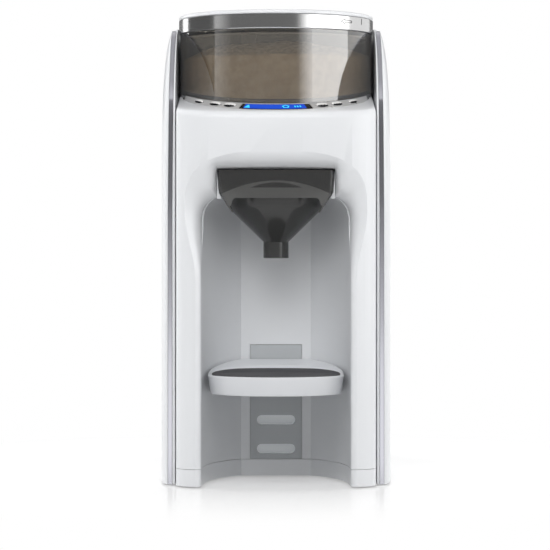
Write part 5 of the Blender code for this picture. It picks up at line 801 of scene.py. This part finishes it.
def build_funnel_cover():
    """The hood of the funnel: a bowed front plate between two pointed cheeks."""
    columns = [("cheek", -1, y) for y in (HOOD_BACK_Y, HOOD_MIDDLE_Y, HOOD_CORNER_Y)]
    columns += [("corner", -1, degrees) for degrees in (0, 22, 45, 68, 90)]
    columns += [("front", 0, -1 + 2 * step / 24) for step in range(1, 24)]
    columns += [("corner", 1, degrees) for degrees in (90, 68, 45, 22, 0)]
    columns += [("cheek", 1, y) for y in (HOOD_CORNER_Y, HOOD_MIDDLE_Y, HOOD_BACK_Y)]

    def foot(kind, value):
        if kind == "cheek":
            return HOOD_CHEEK_FOOT_Z
        if kind == "corner":
            return HOOD_POINT_Z if value == 45 else HOOD_CORNER_FOOT_Z
        share = (abs(value) - HOOD_FOOT_LEVEL_SHARE) / (1 - HOOD_FOOT_LEVEL_SHARE)
        return HOOD_FRONT_FOOT_Z - HOOD_FOOT_DROP * max(0.0, share)

    levels = 12
    builder = bmesh.new()
    rows = []
    for level in range(levels + 1):
        row = []
        for kind, side, value in columns:
            z = HOOD_TOP_Z + (foot(kind, value) - HOOD_TOP_Z) * level / levels
            half = cover_half(z)
            if kind == "cheek":
                row.append((side * half, value, z))
            elif kind == "corner":
                angle = math.radians(value)
                x = half - HOOD_CORNER * (1 - math.cos(angle))
                row.append((side * x, HOOD_FRONT_Y + HOOD_CORNER * (1 - math.sin(angle)), z))
            else:
                row.append(((half - HOOD_CORNER) * value, HOOD_FRONT_Y - HOOD_BOW * (1 - value * value), z))
        rows.append(row)
    skin(builder, rows)
    obj = new_object("funnel_hood", builder, [hood_smoke_painted_lip()])
    shell = obj.modifiers.new("thickness", "SOLIDIFY")
    shell.thickness = HOOD_THICKNESS
    shell.offset = -1.0
    soften(obj, 0.3 * MM)
    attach(obj, "funnel")
    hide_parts("funnel_cover")


def build_funnel_lip():
    """The arched lip at the front of the funnel's bowl, seen through the hood."""
    builder = bmesh.new()
    steps = 28
    rows = []
    for y in (LIP_FRONT_Y, LIP_BACK_Y):
        row = []
        for step in range(steps + 1):
            x = LIP_HALF * (2 * step / steps - 1)
            row.append((x, y, HOOD_EDGE_Z + LIP_RISE * (1 - (x / LIP_HALF) ** 2)))
        row += [(LIP_HALF, y, LIP_BOTTOM_Z), (-LIP_HALF, y, LIP_BOTTOM_Z)]
        rows.append(row)
    made = skin(builder, rows, closed=True)
    cap(builder, made[0])
    cap(builder, made[1])
    add_piece("funnel_lip", builder, [grey_plastic("lip_grey", (0.2, 0.2, 0.2))], "funnel")


def build_pocket_lining():
    """White edges of the funnel's pocket, close around the hood's slanted sides."""
    builder = bmesh.new()
    wall = POCKET_HALF - 0.02 * MM
    for side in (-1, 1):
        outline = [(wall, LINING_TOP_Z), (cover_half(HOOD_EDGE_Z) + LINING_CLEAR, HOOD_EDGE_Z),
                   (cover_half(POCKET_FLOOR_Z) + 1.6 * LINING_CLEAR, POCKET_FLOOR_Z), (wall, POCKET_FLOOR_Z)]
        rows = []
        for place in range(9):
            share = place / 8
            rows.append([(side * x, LINING_BACK_Y + (lining_front(z) - LINING_BACK_Y) * share, z)
                         for x, z in outline])
        made = skin(builder, rows, closed=True)
        cap(builder, made[0])
        cap(builder, made[-1])
    add_piece("pocket_lining", builder, [WHITE], "machine")


def lining_front(z):
    """Depth of the housing's front beside the pocket."""
    return -(120.5 + 5.6 * (z / MM - 209) / 20) * MM


def tray_rise(y):
    """How far the tray's border rises towards the back."""
    return TRAY_RISE * min(max((y - TRAY_CORNER_Y) / (TRAY_BACK_Y - TRAY_CORNER_Y), 0.0), 1.0)


def build_tray_pad():
    """The dark pad in the tray, turned up where the border rises behind it."""
    builder = bmesh.new()
    steps = 72
    base = TRAY_TOP_Z - PAD_SUNK
    top = TRAY_TOP_Z + PAD_PROUD
    rows = [[] for _ in range(7)]
    for step in range(steps):
        angle = math.tau * step / steps
        reach = PAD_FRONT if math.sin(angle) < 0 else PAD_BACK
        edge = Vector((PAD_HALF * math.cos(angle), TRAY_CORNER_Y + reach * math.sin(angle)))
        away = Vector((math.cos(angle) / PAD_HALF, math.sin(angle) / reach)).normalized()
        lift = min(PAD_LIFT, PAD_LIFT_SHARE * tray_rise(edge.y))
        spread = 0.2 * MM + PAD_SPREAD * lift

        def spot(out, z):
            return (edge.x + away.x * out, edge.y + away.y * out, z)

        rows[0].append(spot(-0.3 * MM, base))
        rows[1].append(spot(0.0, base + 0.3 * MM))
        rows[2].append(spot(0.1 * MM, TRAY_TOP_Z + 0.12 * MM))
        rows[3].append(spot(spread, TRAY_TOP_Z + 0.16 * MM + lift))
        rows[4].append(spot(spread * 0.9 - 0.1 * MM, top + 0.25 * MM + lift * 0.98))
        rows[5].append(spot(-0.4 * MM, top + 0.1 * MM + 0.1 * lift))
        rows[6].append(spot(-2.2 * MM, top))
    made = skin(builder, rows, closed=True)
    cap(builder, made[0])
    cap(builder, made[-1])
    pad = rubber("pad_rubber", (0.075, 0.075, 0.08))
    add_piece("tray_mat", builder, [pad], "tray", ["tray_pad"])


build_window()
build_screen()
build_signs()
build_buttons()
build_powder()
build_lock_marks()
build_funnel_cover()
build_funnel_lip()
build_pocket_lining()
build_tray_pad()


def seen_rays(tree):
    """1 for camera, mirror and see-through rays, 0 for the light that falls on things."""
    path = node(tree, "ShaderNodeLightPath")
    first = node(tree, "ShaderNodeMath", operation="MAXIMUM")
    second = node(tree, "ShaderNodeMath", operation="MAXIMUM")
    tree.links.new(path.outputs["Is Camera Ray"], first.inputs[0])
    tree.links.new(path.outputs["Is Glossy Ray"], first.inputs[1])
    tree.links.new(first.outputs[0], second.inputs[0])
    tree.links.new(path.outputs["Is Transmission Ray"], second.inputs[1])
    return second.outputs[0]


def build_floor():
    """White floor: near the object it keeps shadow and reflection, further off it is seen as plain white."""
    material = bpy.data.materials.new("studio_floor")
    material.use_nodes = True
    tree = material.node_tree
    tree.nodes.clear()
    output = node(tree, "ShaderNodeOutputMaterial")
    diffuse = node(tree, "ShaderNodeBsdfDiffuse")
    diffuse.inputs["Color"].default_value = (0.6, 0.6, 0.6, 1)
    gloss = node(tree, "ShaderNodeBsdfGlossy")
    gloss.inputs["Roughness"].default_value = 0.1
    polished = node(tree, "ShaderNodeMixShader")
    polished.inputs[0].default_value = 0.3
    tree.links.new(diffuse.outputs[0], polished.inputs[1])
    tree.links.new(gloss.outputs[0], polished.inputs[2])
    seen = seen_rays(tree)
    glow = node(tree, "ShaderNodeEmission")
    level = node(tree, "ShaderNodeMath", operation="MULTIPLY")
    level.inputs[1].default_value = FLOOR_GLOW
    tree.links.new(seen, level.inputs[0])
    tree.links.new(level.outputs[0], glow.inputs["Strength"])
    near = node(tree, "ShaderNodeAddShader")
    tree.links.new(polished.outputs[0], near.inputs[0])
    tree.links.new(glow.outputs[0], near.inputs[1])
    place = node(tree, "ShaderNodeTexCoord")
    distance = node(tree, "ShaderNodeVectorMath", operation="LENGTH")
    tree.links.new(place.outputs["Object"], distance.inputs[0])
    fade = node(tree, "ShaderNodeMapRange", interpolation_type="SMOOTHSTEP")
    fade.inputs["From Min"].default_value = FLOOR_FADE_FROM
    fade.inputs["From Max"].default_value = FLOOR_FADE_TO
    tree.links.new(distance.outputs["Value"], fade.inputs["Value"])
    share = node(tree, "ShaderNodeMath", operation="MULTIPLY")
    tree.links.new(fade.outputs["Result"], share.inputs[0])
    tree.links.new(seen, share.inputs[1])
    plain = node(tree, "ShaderNodeEmission")
    final = node(tree, "ShaderNodeMixShader")
    tree.links.new(share.outputs[0], final.inputs[0])
    tree.links.new(near.outputs[0], final.inputs[1])
    tree.links.new(plain.outputs[0], final.inputs[2])
    tree.links.new(final.outputs[0], output.inputs["Surface"])
    builder = bmesh.new()
    bmesh.ops.create_grid(builder, x_segments=1, y_segments=1, size=FLOOR_SIZE)
    new_object("floor", builder, [material])


def build_world():
    """Soft even light, seen as white, and greyer overhead."""
    world = bpy.data.worlds.new("studio")
    bpy.context.scene.world = world
    world.use_nodes = True
    tree = world.node_tree
    background = tree.nodes["Background"]
    background.inputs["Color"].default_value = (1, 1, 1, 1)
    place = node(tree, "ShaderNodeTexCoord")
    parts = node(tree, "ShaderNodeSeparateXYZ")
    tree.links.new(place.outputs["Generated"], parts.inputs["Vector"])
    sky = node(tree, "ShaderNodeMapRange")
    sky.inputs["From Min"].default_value = 0.3
    sky.inputs["From Max"].default_value = 0.8
    sky.inputs["To Min"].default_value = 1.0
    sky.inputs["To Max"].default_value = WORLD_OVERHEAD
    tree.links.new(parts.outputs["Z"], sky.inputs["Value"])
    level = node(tree, "ShaderNodeMapRange")
    level.inputs["To Min"].default_value = WORLD_LIGHT
    tree.links.new(seen_rays(tree), level.inputs["Value"])
    tree.links.new(sky.outputs["Result"], level.inputs["To Max"])
    tree.links.new(level.outputs["Result"], background.inputs["Strength"])


def mirror_card(name, start, end, levels):
    """An upright curved card that only mirrors see; levels are pairs of height and brightness."""
    material = bpy.data.materials.new(name)
    material.use_nodes = True
    tree = material.node_tree
    tree.nodes.clear()
    output = node(tree, "ShaderNodeOutputMaterial")
    glow = node(tree, "ShaderNodeEmission")
    place = node(tree, "ShaderNodeTexCoord")
    parts = node(tree, "ShaderNodeSeparateXYZ")
    tree.links.new(place.outputs["Object"], parts.inputs["Vector"])
    share = node(tree, "ShaderNodeMapRange")
    share.inputs["From Min"].default_value = 0.0
    share.inputs["From Max"].default_value = CARD_TOP
    tree.links.new(parts.outputs["Z"], share.inputs["Value"])
    ramp = node(tree, "ShaderNodeValToRGB")
    stops = ramp.color_ramp.elements
    while len(stops) < len(levels):
        stops.new(0.5)
    for stop, (height, level) in zip(stops, levels):
        stop.position = height / CARD_TOP
        stop.color = (level / 4, level / 4, level / 4, 1.0)
    tree.links.new(share.outputs["Result"], ramp.inputs["Fac"])
    tree.links.new(ramp.outputs["Color"], glow.inputs["Color"])
    glow.inputs["Strength"].default_value = 4.0
    tree.links.new(glow.outputs[0], output.inputs["Surface"])
    builder = bmesh.new()
    rows = []
    for z in (0.0, CARD_TOP):
        row = []
        for step in range(CARD_STEPS + 1):
            angle = math.radians(start + (end - start) * step / CARD_STEPS)
            row.append((CARD_RADIUS * math.sin(angle), -CARD_RADIUS * math.cos(angle), z))
        rows.append(row)
    skin(builder, rows)
    card = new_object(name, builder, [material])
    for unseen in ("visible_camera", "visible_diffuse", "visible_shadow", "visible_transmission"):
        setattr(card, unseen, False)


def stepped_cards(name, start, width, level, change):
    """Narrow cards side by side, whose brightness changes from one to the next."""
    for index in range(STEPPED_CARDS):
        left = start + width * index
        upper = level + change * index
        mirror_card(f"{name}_{index}", left, left + width, [(0.0, 0.8), (0.3, upper), (CARD_TOP, upper)])


def build_cards():
    """What polished faces mirror: dark in front and at the left, bright at the right and the back left."""
    dark = [(0.0, 0.75), (0.12, 0.5), (0.25, 0.19), (0.45, 0.17), (CARD_TOP, 0.22)]
    mirror_card("card_front", -50, 24, dark)
    stepped_cards("card_fade", -76, FADE_WIDTH, 0.62, -0.09)
    mirror_card("card_left", -127, -76, [(0.0, 0.7), (0.2, 0.12), (CARD_TOP, 0.1)])
    mirror_card("card_strip", -141, -127, [(0.0, 2.0), (CARD_TOP, 2.0)])
    stepped_cards("card_ramp", 24, RAMP_WIDTH, 0.3, 0.36)
    mirror_card("card_window", 42, 93, [(0.0, 1.0), (0.25, 2.7), (CARD_TOP, 2.7)])
    mirror_card("card_back", 146, 216, [(0.0, 1.0), (0.38, 1.0), (0.44, 0.2), (CARD_TOP, 0.2)])


def area_light(name, place, aim, size, power):
    """A soft panel of light, which mirrors don't show."""
    data = bpy.data.lights.new(name, "AREA")
    data.energy = power
    data.size = size
    lamp = bpy.data.objects.new(name, data)
    lamp.location = place
    lamp.rotation_euler = (Vector(aim) - Vector(place)).to_track_quat("-Z", "Y").to_euler()
    lamp.visible_glossy = False
    lamp.visible_transmission = False
    bpy.context.scene.collection.objects.link(lamp)


def build_lights():
    """A key above the front, one panel at each side and one behind."""
    area_light("key", place=(-0.15, -1.7, 1.5), aim=(0, 0, 0.15), size=1.3, power=25.0)
    area_light("side_left", place=(-1.5, 0.6, 0.6), aim=(0, 0, 0.15), size=0.9, power=13.0)
    area_light("side_right", place=(1.5, 0.6, 0.6), aim=(0, 0, 0.15), size=0.9, power=13.0)
    area_light("rear", place=(0.1, 2.0, 1.1), aim=(0, 0, 0.2), size=1.2, power=17.0)


def build_camera():
    """The photograph's level view of the front."""
    data = bpy.data.cameras.new("camera")
    data.lens = CAMERA_LENS
    data.sensor_width = SENSOR_WIDTH
    data.shift_x = SHIFT_X
    data.shift_y = SHIFT_Y
    data.clip_start = 0.05
    data.clip_end = 30.0
    camera = bpy.data.objects.new("camera", data)
    camera.location = (0.0, CAMERA_Y, CAMERA_Z)
    camera.rotation_euler = (math.pi / 2, 0.0, 0.0)
    bpy.context.scene.collection.objects.link(camera)
    bpy.context.scene.camera = camera


build_floor()
build_world()
build_cards()
build_lights()
build_camera()
bpy.context.scene.view_settings.view_transform = "Standard"
